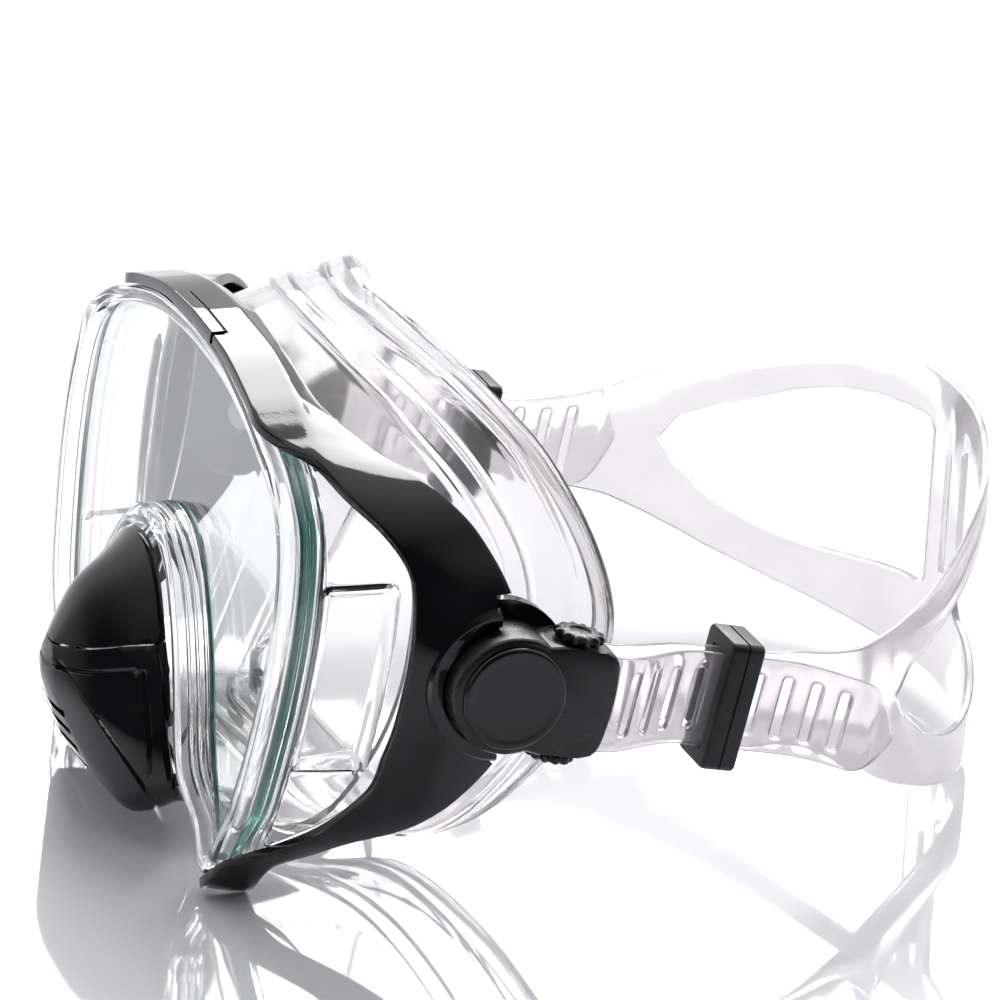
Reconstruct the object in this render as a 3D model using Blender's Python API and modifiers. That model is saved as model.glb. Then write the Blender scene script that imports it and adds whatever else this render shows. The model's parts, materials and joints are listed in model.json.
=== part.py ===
"""Diving mask with a tempered front lens, clear side windows, a nose purge and a split silicone strap.

Lengths are in millimetres and become metres when a mesh is made. The mask faces -Y, X is across the
face and Z is up. Depth is measured back from the lens plane, which leans a little forward at its foot.
"""

import math

import bmesh
import bpy
from mathutils import Matrix, Vector

MM = 0.001

# Overall sizes
NOSE_TIP_Y = -28.0
STRAP_REAR_Y = 170.5
MID_Y = (NOSE_TIP_Y + STRAP_REAR_Y) / 2
FLOOR_LIFT = 3.08

# Lens plane
LENS_TOP_Z = 90.0
LENS_TOP_Y = 2.3
LENS_LEAN = 0.125

# Rim, glass and side windows
RIM_FRONT = -1.0
NOSE_WALL_FRONT = -3.7
RIM_SWELL = 1.3
RIM_REAR = 7.2
NOSE_WALL_REAR = 4.6
RIM_WALL = 2.0
RIM_LIP = 3.4
LIP_BACK = 2.6
GLASS_EDGE = 2.3
GLASS_FRONT = 2.9
GLASS_THICK = 4.0
WINDOW_THICK = 1.8
WINDOW_FRONT = 7.6
POCKET_DEPTH = 2.3
POCKET_DRAFT = 2.4
POCKET_FRONT = 8.0
POCKET_REAR = 19.5

# Frame shell, outside the rim and the windows
FRAME_GAP = 0.4
FRAME_THICK = 2.2
FRAME_DROOP = 1.8
CORNER_DROOP = 1.0
ARM_BULGE = 6.0
CLIP_HALF = 12.5
CLIP_DEPTH = 3.2

# Skirt
SKIRT_THICK = 1.8

# Buckles, in a frame that leans with the strap: L runs back along it and W across its width
PIVOT_Y = 39.8
PIVOT_Z = 48.2
STRAP_FALL = math.radians(12.2)
HUB_R = 12.0
CAP_R = 10.4
LUG_R = 15.4
LUG_IN = 73.4
LUG_OUT = 76.9
COLLAR_OUT = 83.8
CLEAR_HALF = 17.5
HUB_IN = 77.3
HUB_OUT = 89.0
BLOCK_IN = 77.6
BLOCK_END = 20.5
BLOCK_HALF = 11.4
CHANNEL_HALF = 10.2
CHANNEL_LONG = 53.0
ROLLER_L = 12.6
ROLLER_X = 83.3
BARREL_R = 2.6
JOURNAL_R = 1.8
KNOB_R = 5.0
KNOB_TEETH = 12
CHANNEL_R = 4.8
POST_R = 2.4

# Strap
STRAP_THICK = 1.6
STRAP_HALF = 9.8
LAYER_OFF = BARREL_R + 0.3 + STRAP_THICK / 2
KEEPER_L = 49.8
KEEPER_X = 75.4
KEEPER_LAYER = 1.9
TAIL_END_L = 86.5
LOOP_START_L = 59.0
LOOP_TWIST = 0.057

# Purge valve, in the lower front of the nose piece
VALVE_CENTRE = Vector((0.0, -16.6, 15.2))
VALVE_TILT = math.radians(25)


# ---------------------------------------------------------------- scene helpers
def clear_scene():
    for obj in list(bpy.data.objects):
        bpy.data.objects.remove(obj, do_unlink=True)


def new_collection(name):
    made = bpy.data.collections.new(name)
    bpy.context.scene.collection.children.link(made)
    return made


clear_scene()
PARTS = new_collection("diving_mask")
CUTTERS = new_collection("cutters")
CUTTERS.hide_render = True


def material(name, colour, roughness, metallic=0.0, alpha=1.0):
    made = bpy.data.materials.new(name)
    made.use_nodes = True
    shader = made.node_tree.nodes["Principled BSDF"]
    shader.inputs["Base Color"].default_value = (*colour, 1.0)
    shader.inputs["Roughness"].default_value = roughness
    shader.inputs["Metallic"].default_value = metallic
    shader.inputs["Alpha"].default_value = alpha
    return made


GLASS = material("tempered_glass", (0.75, 0.9, 0.86), 0.03, alpha=0.4)
CLEAR = material("clear_polycarbonate", (0.93, 0.95, 0.96), 0.06, alpha=0.45)
BLACK = material("gloss_black", (0.012, 0.012, 0.013), 0.12)
SATIN = material("satin_black", (0.02, 0.02, 0.022), 0.35)
SILICONE = material("clear_silicone", (0.92, 0.92, 0.94), 0.18, alpha=0.5)
STRAP_SILICONE = material("strap_silicone", (0.94, 0.92, 0.93), 0.2, alpha=0.5)
VALVE_SILICONE = material("valve_silicone", (0.85, 0.87, 0.88), 0.3, alpha=0.7)
STEEL = material("stainless_steel", (0.62, 0.63, 0.65), 0.25, metallic=1.0)


def empty(name, x, y, z, parent=None):
    """A parent on a joint's axis, at a place given in the mask's own millimetres."""
    made = bpy.data.objects.new(name, None)
    PARTS.objects.link(made)
    made.parent = parent
    made["place"] = (x, y, z)
    origin = Vector(parent["place"]) if parent else Vector((0.0, MID_Y, -FLOOR_LIFT))
    made.location = (Vector((x, y, z)) - origin) * MM
    return made


def add_object(name, mesh, look, parent):
    """An object whose mesh is in the mask's own place, hung from an empty."""
    obj = bpy.data.objects.new(name, mesh)
    PARTS.objects.link(obj)
    obj.parent = parent
    obj.location = -Vector(parent["place"]) * MM
    mesh.materials.clear()
    mesh.materials.append(look)
    return obj


def mesh_from(bm, name):
    """A closed mesh with its faces out, smooth but for its sharp edges."""
    bmesh.ops.recalc_face_normals(bm, faces=bm.faces)
    bmesh.ops.scale(bm, vec=(MM, MM, MM), verts=bm.verts)
    mesh = bpy.data.meshes.new(name)
    bm.to_mesh(mesh)
    bm.free()
    mesh.shade_smooth()
    mesh.set_sharp_from_angle(angle=math.radians(35))
    return mesh


def guide(name, mesh):
    """A cutter or a shape to be joined: kept out of the part."""
    obj = bpy.data.objects.new(name, mesh)
    CUTTERS.objects.link(obj)
    obj.hide_render = True
    obj.display_type = "WIRE"
    obj.location = (0.0, -MID_Y * MM, FLOOR_LIFT * MM)
    return obj


def combine(target, tool, operation):
    modifier = target.modifiers.new(tool.name, "BOOLEAN")
    modifier.operation = operation
    modifier.solver = "EXACT"
    modifier.object = tool
    return target


def solidify(target, thickness, outward):
    modifier = target.modifiers.new("wall", "SOLIDIFY")
    modifier.thickness = thickness * MM
    modifier.offset = 1.0 if outward else -1.0
    modifier.use_even_offset = False
    return target


def baked_mesh(obj, name):
    """The object's mesh as its modifiers leave it."""
    bpy.context.view_layer.update()
    graph = bpy.context.evaluated_depsgraph_get()
    mesh = bpy.data.meshes.new_from_object(obj.evaluated_get(graph))
    mesh.name = name
    return mesh


def mirrored(obj, name, parent):
    """The same piece on the other side of the mask."""
    mesh = baked_mesh(obj, name)
    mesh.transform(Matrix.Scale(-1, 4, (1, 0, 0)))
    mesh.flip_normals()
    return add_object(name, mesh, obj.data.materials[0], parent)


# ---------------------------------------------------------------- geometry helpers
def spline(points, count, closed=False):
    """Evenly spaced points on a Catmull-Rom curve through points of any length."""
    n = len(points)
    dense = []
    spans = n if closed else n - 1
    for i in range(spans):
        a, b, c, d = (
            points[(i + k) % n] if closed else points[min(max(i + k, 0), n - 1)] for k in (-1, 0, 1, 2)
        )
        for step in range(12):
            t = step / 12
            dense.append([catmull(p, q, r, s, t) for p, q, r, s in zip(a, b, c, d)])
    dense.append(list(points[0] if closed else points[-1]))
    lengths = [0.0]
    for p, q in zip(dense, dense[1:]):
        lengths.append(lengths[-1] + math.dist(p[:2], q[:2]))
    steps = count if closed else count - 1
    return [at_length(dense, lengths, lengths[-1] * i / steps) for i in range(count)]


def catmull(a, b, c, d, t):
    return 0.5 * (2 * b + (c - a) * t + (2 * a - 5 * b + 4 * c - d) * t * t + (3 * b - a - 3 * c + d) * t ** 3)


def at_length(points, lengths, wanted):
    i = 0
    while i < len(lengths) - 2 and lengths[i + 1] < wanted:
        i += 1
    t = (wanted - lengths[i]) / max(lengths[i + 1] - lengths[i], 1e-9)
    return [p + (q - p) * t for p, q in zip(points[i], points[i + 1])]


def ease(value, low, high):
    t = min(max((value - low) / (high - low), 0.0), 1.0)
    return t * t * (3 - 2 * t)


def lens_y(z):
    return LENS_TOP_Y - LENS_LEAN * (LENS_TOP_Z - z)


def on_lens(x, z, depth):
    return (x, lens_y(z) + depth, z)


def loft(rings, wrap_rings=False, wrap_points=True, cap=False):
    """Quads between rings of equal length."""
    bm = bmesh.new()
    rows = [[bm.verts.new(p) for p in ring] for ring in rings]
    pairs = list(zip(rows, rows[1:]))
    if wrap_rings:
        pairs.append((rows[-1], rows[0]))
    for low, high in pairs:
        last = len(low) if wrap_points else len(low) - 1
        for i in range(last):
            j = (i + 1) % len(low)
            bm.faces.new((low[i], low[j], high[j], high[i]))
    if cap:
        bm.faces.new(rows[0])
        bm.faces.new(rows[-1])
    return bm


def tool_cylinder(name, radius, length, matrix, segments=32):
    bm = bmesh.new()
    bmesh.ops.create_cone(
        bm, cap_ends=True, segments=segments, radius1=radius, radius2=radius, depth=length, matrix=matrix
    )
    return guide(name, mesh_from(bm, name))


def tool_box(name, size, matrix):
    bm = bmesh.new()
    bmesh.ops.create_cube(bm, size=1.0, matrix=matrix @ Matrix.Diagonal((*size, 1.0)))
    return guide(name, mesh_from(bm, name))


ALONG_X = Matrix.Rotation(math.pi / 2, 4, "Y")
LEAN = Matrix.Translation((0, PIVOT_Y, PIVOT_Z)) @ Matrix.Rotation(-STRAP_FALL, 4, "X")


def in_buckle(x, along, across):
    """The mask's place of a point given in the buckle's leaning frame."""
    return LEAN @ Vector((x, along, across))


# ---------------------------------------------------------------- outlines
# Half of the rim's outer outline seen from the front, from the top centre round to the nose.
RIM_HALF = (
    (0.0, 96.0), (20.0, 94.9), (36.0, 91.6), (47.6, 87.9), (56.0, 84.9), (63.2, 80.2), (68.2, 74.0),
    (70.9, 66.0), (71.8, 56.0), (70.9, 44.0), (68.4, 32.0), (65.0, 20.5), (60.9, 11.8), (55.6, 3.2),
    (51.8, 0.3), (47.6, 2.0), (43.9, 6.2), (39.9, 11.0), (35.9, 16.0), (31.9, 22.0), (28.2, 29.4),
    (21.8, 39.4), (14.4, 47.8), (7.4, 52.2), (0.0, 53.6),
)
RIM_POINTS = 92


def rim_outline():
    left = [(-x, z) for x, z in reversed(RIM_HALF[1:-1])]
    return spline(list(RIM_HALF) + left, RIM_POINTS, closed=True)


def inward_normals(outline):
    """Unit vectors towards the inside of a closed outline that runs clockwise."""
    n = len(outline)
    found = []
    for i in range(n):
        ax, az = outline[i - 1]
        bx, bz = outline[(i + 1) % n]
        length = math.hypot(bx - ax, bz - az)
        found.append(((bz - az) / length, -(bx - ax) / length))
    return found


def nose_share(x, z):
    """1 on the nose arch, 0 on the rest of the rim."""
    arch = 1.0 - ease(abs(x), 36.0, 45.0)
    return arch * (1.0 - ease(z, 56.0, 62.0))


def rim_depth(x, z, depth):
    """The rim's front and rear edges stand further forward on the nose arch than elsewhere."""
    share = nose_share(x, z)
    if depth == RIM_FRONT:
        return depth + (NOSE_WALL_FRONT - RIM_FRONT) * share
    if depth == RIM_REAR:
        return depth + (NOSE_WALL_REAR - RIM_REAR) * share
    return depth


def rim_swell(z):
    """The rim stands out where no frame covers it, down the sides."""
    return RIM_SWELL * ease(z, 11.0, 20.0) * (1.0 - ease(z, 76.0, 83.0))


# ---------------------------------------------------------------- lens group
def make_bezel(parent):
    outline = rim_outline()
    normals = inward_normals(outline)
    rings = []
    for offset, depth in (
        (0.0, RIM_FRONT), (RIM_LIP, RIM_FRONT), (RIM_LIP, LIP_BACK),
        (RIM_WALL, LIP_BACK), (RIM_WALL, RIM_REAR), (0.0, RIM_REAR),
    ):
        ring = []
        for (x, z), (nx, nz) in zip(outline, normals):
            place = rim_depth(x, z, depth)
            shift = offset if offset else -rim_swell(z)
            ring.append(on_lens(x + nx * shift, z + nz * shift, place))
        rings.append(ring)
    return add_object("lens_bezel", mesh_from(loft(rings, wrap_rings=True), "lens_bezel"), CLEAR, parent)


def make_front_lens(parent):
    outline = rim_outline()
    normals = inward_normals(outline)
    rings = [
        [
            on_lens(x + nx * GLASS_EDGE, z + nz * GLASS_EDGE, depth)
            for (x, z), (nx, nz) in zip(outline, normals)
        ]
        for depth in (GLASS_FRONT, GLASS_FRONT + GLASS_THICK)
    ]
    return add_object("front_lens", mesh_from(loft(rings, cap=True), "front_lens"), GLASS, parent)


# Half of the frame's run, from the top centre to the foot: outline x and z, then the depths of its
# front and rear edges.
FRAME_HALF = (
    (0.0, 96.0, -1.2, 12.5), (20.0, 94.9, -1.2, 12.0), (36.0, 91.6, -1.2, 13.8), (44.0, 89.2, -1.2, 17.0),
    (49.5, 87.3, 1.6, 20.0), (55.8, 85.0, 7.4, 24.0), (62.8, 80.5, 12.0, 29.5), (67.9, 74.6, 18.5, 36.0),
    (70.5, 68.5, 23.0, 40.5), (71.5, 62.0, 24.0, 44.0), (71.8, 54.0, 24.2, 46.0), (71.2, 47.0, 24.2, 46.5),
    (70.3, 40.0, 24.0, 46.0), (68.8, 33.5, 23.4, 44.6), (66.7, 26.0, 22.6, 38.5), (64.2, 18.4, 18.0, 29.5),
    (61.2, 12.2, 9.5, 20.5), (58.5, 7.4, 1.8, 12.5), (55.6, 3.2, -1.2, 9.2), (51.8, 0.3, -1.2, 8.0),
)


def frame_stations(count):
    return spline(FRAME_HALF, count)


def flare(x, z, depth):
    """How far the body's side walls stand out from the rim's outline at a depth."""
    sides = ease(abs(x), 8.0, 58.0) * (1.0 - ease(z, 62.0, 86.0))
    return sides * (0.26 * depth - 0.0043 * depth * depth)


def arm_bulge(z, depth):
    """The frame's arms bulge outwards round the buckles' hubs."""
    return ARM_BULGE * ease(depth, 18.0, 33.0) * (1.0 - ease(z, 54.0, 74.0)) * ease(z, 8.0, 26.0)


def frame_droop(station, depth):
    """The top of the frame slopes down towards its rear edge."""
    x, _, front, rear = station
    start = max(RIM_REAR + 1.2, front + 2.0)
    most = FRAME_DROOP + CORNER_DROOP * ease(abs(x), 16.0, 44.0)
    return most * max(depth - start, 0.0) / (rear - start) * (1.0 - ease(abs(x), 52.0, 66.0))


def half_normals(stations):
    """Unit vectors away from the inside, for a half outline that starts at the top centre."""
    found = []
    for i, station in enumerate(stations):
        ax, az = stations[i - 1][:2] if i else (-stations[1][0], stations[1][1])
        bx, bz = stations[min(i + 1, len(stations) - 1)][:2]
        length = math.hypot(bx - ax, bz - az)
        found.append((-(bz - az) / length, (bx - ax) / length))
    return found


def body_point(station, normal, depth, offset):
    x, z = station[:2]
    out = flare(x, z, max(depth, 0.0)) + arm_bulge(z, depth) + offset
    return on_lens(x + normal[0] * out, z + normal[1] * out, depth)


def both_halves(half):
    """A run over the whole mask, from a half run of points that starts on the middle plane."""
    return [(-x, y, z) for x, y, z in reversed(half[1:])] + half


def make_frame(parent):
    stations = frame_stations(30)
    normals = half_normals(stations)
    rings = []
    for share in (0.0, 0.2, 0.4, 0.6, 0.8, 1.0):
        half = []
        for s, n in zip(stations, normals):
            depth = s[2] + (s[3] - s[2]) * share
            half.append(body_point(s, n, depth, FRAME_GAP - frame_droop(s, depth)))
        rings.append(both_halves(half))
    frame = add_object("frame", mesh_from(loft(rings, wrap_points=False), "frame"), BLACK, parent)
    face_outward(frame)
    solidify(frame, FRAME_THICK, outward=True)
    clip_top = lens_y(LENS_TOP_Z) + CLIP_DEPTH / 2 - 0.5
    notch = tool_box(
        "clip_notch", (2 * CLIP_HALF + 0.8, CLIP_DEPTH + 1.0, 8.0), Matrix.Translation((0, clip_top, 97.5))
    )
    combine(frame, notch, "DIFFERENCE")
    for side in (1, -1):
        add_pivot(frame, side)
    return frame


def face_outward(obj):
    """Turns an open surface so that its faces look away from the middle of the mask."""
    mesh = obj.data
    middle = Vector((0.0, 20.0, 48.0)) * MM
    votes = sum((p.center - middle).dot(p.normal) * p.area for p in mesh.polygons)
    if votes < 0:
        mesh.flip_normals()


def add_pivot(frame, side):
    """The lug that carries a buckle, the recess and the collar for its hub, and the post's hole."""
    label = "left" if side > 0 else "right"
    place = Matrix.Translation((side * (LUG_IN + COLLAR_OUT) / 2, PIVOT_Y, PIVOT_Z)) @ ALONG_X
    combine(frame, tool_cylinder("lug_" + label, LUG_R, COLLAR_OUT - LUG_IN, place), "UNION")
    reach = 40.0
    place = Matrix.Translation((side * (LUG_OUT + reach / 2), PIVOT_Y - 1.0 + reach / 2, PIVOT_Z))
    combine(frame, tool_box("swing_room_" + label, (reach, reach, 2 * CLEAR_HALF), place), "DIFFERENCE")
    place = Matrix.Translation((side * (LUG_OUT + 10.0), PIVOT_Y, PIVOT_Z)) @ ALONG_X
    combine(frame, tool_cylinder("recess_" + label, HUB_R + 0.6, 20.0, place), "DIFFERENCE")
    place = Matrix.Translation((side * LUG_IN, PIVOT_Y, PIVOT_Z)) @ ALONG_X
    combine(frame, tool_cylinder("post_hole_" + label, POST_R + 0.3, 20.0, place, 24), "DIFFERENCE")


def make_clip(parent):
    stations = [s for s in frame_stations(30) if s[0] <= CLIP_HALF - 0.5]
    stations[-1] = (CLIP_HALF, *stations[-1][1:])
    normals = half_normals(stations)
    rings = []
    for depth, offset in (
        (-1.6, 0.0), (-1.6, 3.0), (CLIP_DEPTH - 1.6, 3.0), (CLIP_DEPTH - 1.6, FRAME_GAP),
        (-0.6, FRAME_GAP), (-1.2, 0.0),
    ):
        half = [body_point(s, n, depth, offset) for s, n in zip(stations, normals)]
        rings.append(both_halves(half))
    columns = [list(column) for column in zip(*rings)]
    bm = loft(columns, cap=True)
    return add_object("frame_clip", mesh_from(bm, "frame_clip"), BLACK, parent)


# ---------------------------------------------------------------- side windows
def make_side_window(parent):
    """A clear panel behind the rim, with a rectangular pocket pressed into it."""
    stations = [s for s in frame_stations(46) if s[2] > 5.5]
    normals = half_normals([(-1.0, 97.0)] + stations)[1:]
    rows = []
    for share in (0.0, 0.03, 0.11, 0.35, 0.65, 0.79, 0.9, 1.0):
        row = []
        for s, n in zip(stations, normals):
            rear = max(s[2] + 1.5, WINDOW_FRONT + 1.2)
            depth = WINDOW_FRONT + (rear - WINDOW_FRONT) * share
            row.append(body_point(s, n, depth, -pocket_depth(s[1], depth)))
        rows.append(row)
    bm = loft(rows, wrap_points=False)
    window = add_object("side_window_left", mesh_from(bm, "side_window_left"), CLEAR, parent)
    face_outward(window)
    solidify(window, WINDOW_THICK, outward=False)
    return window


def pocket_depth(z, depth):
    """How far the pocket's floor lies inside the panel: 0 outside it, with sloping walls."""
    across = 1.0 - ease(abs(z - 47.5), 17.0, 17.0 + POCKET_DRAFT)
    along = ease(depth, POCKET_FRONT, POCKET_FRONT + 1.6)
    along *= 1.0 - ease(depth, POCKET_REAR, POCKET_REAR + POCKET_DRAFT)
    return POCKET_DEPTH * across * along


# ---------------------------------------------------------------- skirt
# Half rings of the skirt from the seat in the frame back to the sealing edge, and the turned-in lip.
# Each is read from the top centre round to the bottom centre.
SKIRT_SEAT = (
    (0, 13, 92.5), (22, 12.5, 91), (42, 15, 85.3), (57.5, 21, 77.5), (67.5, 26, 66), (70.2, 25.5, 50),
    (68.6, 22, 34), (63.6, 15.5, 19), (54.5, 8, 8), (38, 2.4, 6.6), (19, 0.6, 8), (0, 0.2, 9),
)
SKIRT_WALL = (
    (0, 22, 96), (22, 23, 94.5), (42.5, 28, 88.3), (59, 35, 79), (68.5, 41, 67.2), (70.4, 42, 50),
    (69.2, 38, 33), (64.6, 30, 17), (55.5, 19, 6.2), (39, 12, 4.6), (19, 8, 7.2), (0, 6, 8.8),
)
SKIRT_RIDGE = (
    (0, 31, 99.5), (21, 33, 98), (41, 39, 91.5), (56, 47, 81), (65.5, 54, 67), (67.5, 57, 50),
    (66.5, 53, 33), (62.5, 44, 17.5), (54.5, 32, 6), (40, 24, 2.0), (20, 17, 7.5), (0, 14, 10),
)
SKIRT_EDGE = (
    (0, 39.7, 102.8), (20, 42, 101.5), (38, 50, 94), (54, 58, 84.5), (65, 65.5, 68), (68.5, 68.5, 51),
    (67, 64, 34), (62, 56, 19), (54, 45.5, 5.6), (41, 35.5, -0.5), (20, 27, 7.4), (0, 22, 12),
)
SKIRT_LIP = (
    (0, 40.5, 95.5), (19, 43, 94), (36, 50.5, 87), (50, 58, 78.5), (59.5, 65, 65), (62.5, 67.5, 51),
    (61, 63, 36), (56, 55, 23), (48.5, 45, 13), (37, 36, 9), (19, 28, 14.5), (0, 23, 18.5),
)
SKIRT_POINTS = 56


def skirt_ring(half):
    left = [(-x, y, z) for x, y, z in reversed(half[1:-1])]
    xz_first = [(x, z, y) for x, y, z in list(half) + left]
    return [(x, y, z) for x, z, y in spline(xz_first, SKIRT_POINTS, closed=True)]


def make_skirt(parent):
    control = [skirt_ring(h) for h in (SKIRT_SEAT, SKIRT_WALL, SKIRT_RIDGE, SKIRT_EDGE, SKIRT_LIP)]
    columns = [spline([ring[i] for ring in control], 8) for i in range(SKIRT_POINTS)]
    rings = [list(ring) for ring in zip(*columns)]
    skirt = add_object("skirt", mesh_from(loft(rings), "skirt"), SILICONE, parent)
    face_outward(skirt)
    solidify(skirt, SKIRT_THICK, outward=False)
    return skirt


# ---------------------------------------------------------------- nose piece
# Half rings of the nose shell from its base on the rim to its tip, from the top round to the bottom.
NOSE_BASE = (
    (0, -6.9, 52.2), (7, -7.0, 50.9), (13.6, -7.5, 46.6), (21.6, -8.7, 38.2), (28.4, -9.6, 28.8),
    (31.9, -10.8, 21.2), (35.2, -9.6, 11), (29, -5.2, 6), (15, -2.8, 5.4), (0, -2.0, 6),
)
NOSE_MIDDLE = (
    (0, -13.2, 48.3), (5.8, -13.3, 46.9), (11, -13.8, 43), (17, -15, 35.8), (22.8, -16, 27),
    (27, -17, 18.5), (27.4, -17, 5.2), (21, -15.5, 3.2), (10, -15.5, 3), (0, -15.5, 3),
)
NOSE_FRONT = (
    (0, -20.6, 42.2), (3.8, -20.7, 41.2), (7, -21, 38.4), (11, -21.8, 32.6), (14.5, -22.3, 26.4),
    (17, -22.6, 20), (17.5, -21.6, 9.5), (12, -21.6, 7.8), (6, -21.8, 7.4), (0, -22, 7.2),
)
NOSE_TIP = (
    (0, -26.3, 31.6), (1.7, -26.4, 31.2), (3, -26.6, 30), (4.1, -26.9, 28), (4.8, -27.1, 25.8),
    (5, -27.1, 23.6), (4.4, -26.9, 21), (3, -26.8, 20), (1.5, -26.8, 19.5), (0, -26.8, 19.3),
)
NOSE_THICK = 1.8
NOSE_LIP = 1.6
SEAM_GAP = 0.3
SLOT_COUNT = 4


def whole_ring(half):
    return list(half) + [(-x, y, z) for x, y, z in reversed(half[1:-1])]


def nose_surface():
    base = whole_ring(NOSE_BASE)
    shoulder = [(0.99 * x, y - NOSE_LIP, z) for x, y, z in base]
    control = [shoulder] + [whole_ring(h) for h in (NOSE_MIDDLE, NOSE_FRONT, NOSE_TIP)]
    columns = []
    for column in zip(*control):
        yz_first = [(y, z, x) for x, y, z in column]
        columns.append([(x, y, z) for y, z, x in spline(yz_first, 8)])
    rings = [base] + [list(ring) for ring in zip(*columns)]
    bm = loft(rings)
    bm.verts.ensure_lookup_table()
    last = bm.verts[-len(rings[0]):]
    tip = bm.verts.new((0.0, NOSE_TIP_Y, 25.0))
    for a, b in zip(last, last[1:] + last[:1]):
        bm.faces.new((a, b, tip))
    return bm


def seam_matrix(shift):
    """The seam between the upper cover and the purge housing falls forward from the rim."""
    return Matrix.Translation((0, -8, 38.2 + shift)) @ Matrix.Rotation(math.radians(21), 4, "X")


def make_nose_half(name, parent, above):
    half = add_object(name, mesh_from(nose_surface(), name), BLACK if above else SATIN, parent)
    face_from(half, Vector((0.0, -6.0, 25.0)))
    solidify(half, NOSE_THICK, outward=False)
    size = 120.0
    shift = (size / 2 + SEAM_GAP / 2) * (1 if above else -1)
    box = tool_box(name + "_side", (size, size, size), seam_matrix(0) @ Matrix.Translation((0, 0, shift)))
    return combine(half, box, "INTERSECT")


def face_from(obj, middle):
    mesh = obj.data
    votes = sum((p.center - middle * MM).dot(p.normal) * p.area for p in mesh.polygons)
    if votes < 0:
        mesh.flip_normals()


def cut_slots(housing):
    """Purge slots across the lower front face."""
    for i in range(SLOT_COUNT):
        along = i / (SLOT_COUNT - 1)
        place = Matrix.Translation((0, -26.2 + 5.2 * along, 17.6 - 9.6 * along))
        turn = Matrix.Rotation(VALVE_TILT, 4, "X")
        slot = tool_box("slot_%d" % (i + 1), (17.0 + 7.0 * along, 9.0, 1.6), place @ turn)
        combine(housing, slot, "DIFFERENCE")


def valve_matrix(shift):
    """A frame with +Z out through the slots, moved along it."""
    turn = Matrix.Rotation(VALVE_TILT + math.pi / 2, 4, "X")
    return Matrix.Translation(VALVE_CENTRE) @ turn @ Matrix.Translation((0, 0, shift))


def disc(bm, radius, thick, matrix, segments=32):
    bmesh.ops.create_cone(
        bm, cap_ends=True, segments=segments, radius1=radius, radius2=radius, depth=thick, matrix=matrix
    )


def make_valve(rig, flap_parent):
    bm = bmesh.new()
    disc(bm, 10.0, 1.6, valve_matrix(0))
    seat = add_object("purge_seat", mesh_from(bm, "purge_seat"), SATIN, rig)
    for i in range(6):
        turn = Matrix.Rotation(i * math.pi / 3, 4, "Z") @ Matrix.Translation((5.4, 0, 0))
        port = tool_cylinder("port_%d" % (i + 1), 1.9, 6.0, valve_matrix(0) @ turn, 16)
        combine(seat, port, "DIFFERENCE")
    bm = bmesh.new()
    disc(bm, 8.6, 0.8, valve_matrix(1.6))
    add_object("purge_flap", mesh_from(bm, "purge_flap"), VALVE_SILICONE, flap_parent)


# ---------------------------------------------------------------- buckles
def buckle_outline():
    """Side outline in the leaning frame: the round hub and the block behind it."""
    corner = math.asin((BLOCK_HALF - 0.6) / HUB_R)
    arc = [corner + (2 * math.pi - 2 * corner) * i / 22 for i in range(23)]
    points = [(HUB_R * math.cos(a), HUB_R * math.sin(a)) for a in arc]
    rear = [
        (BLOCK_END - 1.4, -BLOCK_HALF + 1.0), (BLOCK_END, -BLOCK_HALF + 3.4), (BLOCK_END + 0.7, 0.0),
        (BLOCK_END, BLOCK_HALF - 3.4), (BLOCK_END - 1.4, BLOCK_HALF - 1.0),
    ]
    flat = 3.4
    foot = [(ROLLER_L - flat, -BLOCK_HALF), (ROLLER_L + flat, -BLOCK_HALF)]
    return points + foot + rear + [(along, -across) for along, across in reversed(foot)]


def make_buckle_body(parent):
    rings = [
        [in_buckle(x, along, across) for along, across in buckle_outline()] for x in (HUB_IN, HUB_OUT)
    ]
    body = add_object(
        "buckle_body_left", mesh_from(loft(rings, cap=True), "buckle_body_left"), SATIN, parent
    )
    relief = tool_box(
        "block_relief", (2 * (BLOCK_IN - HUB_IN), 60.0, 60.0),
        LEAN @ Matrix.Translation((HUB_IN, HUB_R + 31.5, 0)),
    )
    combine(body, relief, "DIFFERENCE")
    channel = tool_box(
        "strap_channel", (2 * CHANNEL_R, CHANNEL_LONG, 2 * CHANNEL_HALF),
        LEAN @ Matrix.Translation((ROLLER_X, ROLLER_L - CHANNEL_R + CHANNEL_LONG / 2, 0)),
    )
    combine(body, channel, "DIFFERENCE")
    bore = tool_cylinder(
        "journal_bore", JOURNAL_R + 0.3, 60.0, LEAN @ Matrix.Translation((ROLLER_X, ROLLER_L, 0)), 24
    )
    combine(body, bore, "DIFFERENCE")
    for side in (1, -1):
        scoop = tool_cylinder(
            "scoop_%s" % ("top" if side > 0 else "foot"), KNOB_R + 1.7, 4.0,
            LEAN @ Matrix.Translation((ROLLER_X, ROLLER_L, side * (BLOCK_HALF + 1.5))), 24,
        )
        combine(body, scoop, "DIFFERENCE")
    hole = tool_cylinder(
        "post_socket", POST_R + 0.3, 8.0, Matrix.Translation((HUB_IN + 2.0, PIVOT_Y, PIVOT_Z)) @ ALONG_X, 24
    )
    combine(body, hole, "DIFFERENCE")
    window = tool_box(
        "catch_window", (4.0, 9.6, 9.0), LEAN @ Matrix.Translation((HUB_IN, ROLLER_L + 2.8, 0))
    )
    return combine(body, window, "DIFFERENCE")


def make_cap(parent):
    bm = bmesh.new()
    thick = 1.0
    centre = Matrix.Translation((HUB_OUT + 0.3 + thick / 2, PIVOT_Y, PIVOT_Z)) @ ALONG_X
    bmesh.ops.create_cone(
        bm, cap_ends=True, segments=36, radius1=CAP_R, radius2=CAP_R - 0.7, depth=thick, matrix=centre
    )
    return add_object("buckle_cap_left", mesh_from(bm, "buckle_cap_left"), SATIN, parent)


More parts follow.
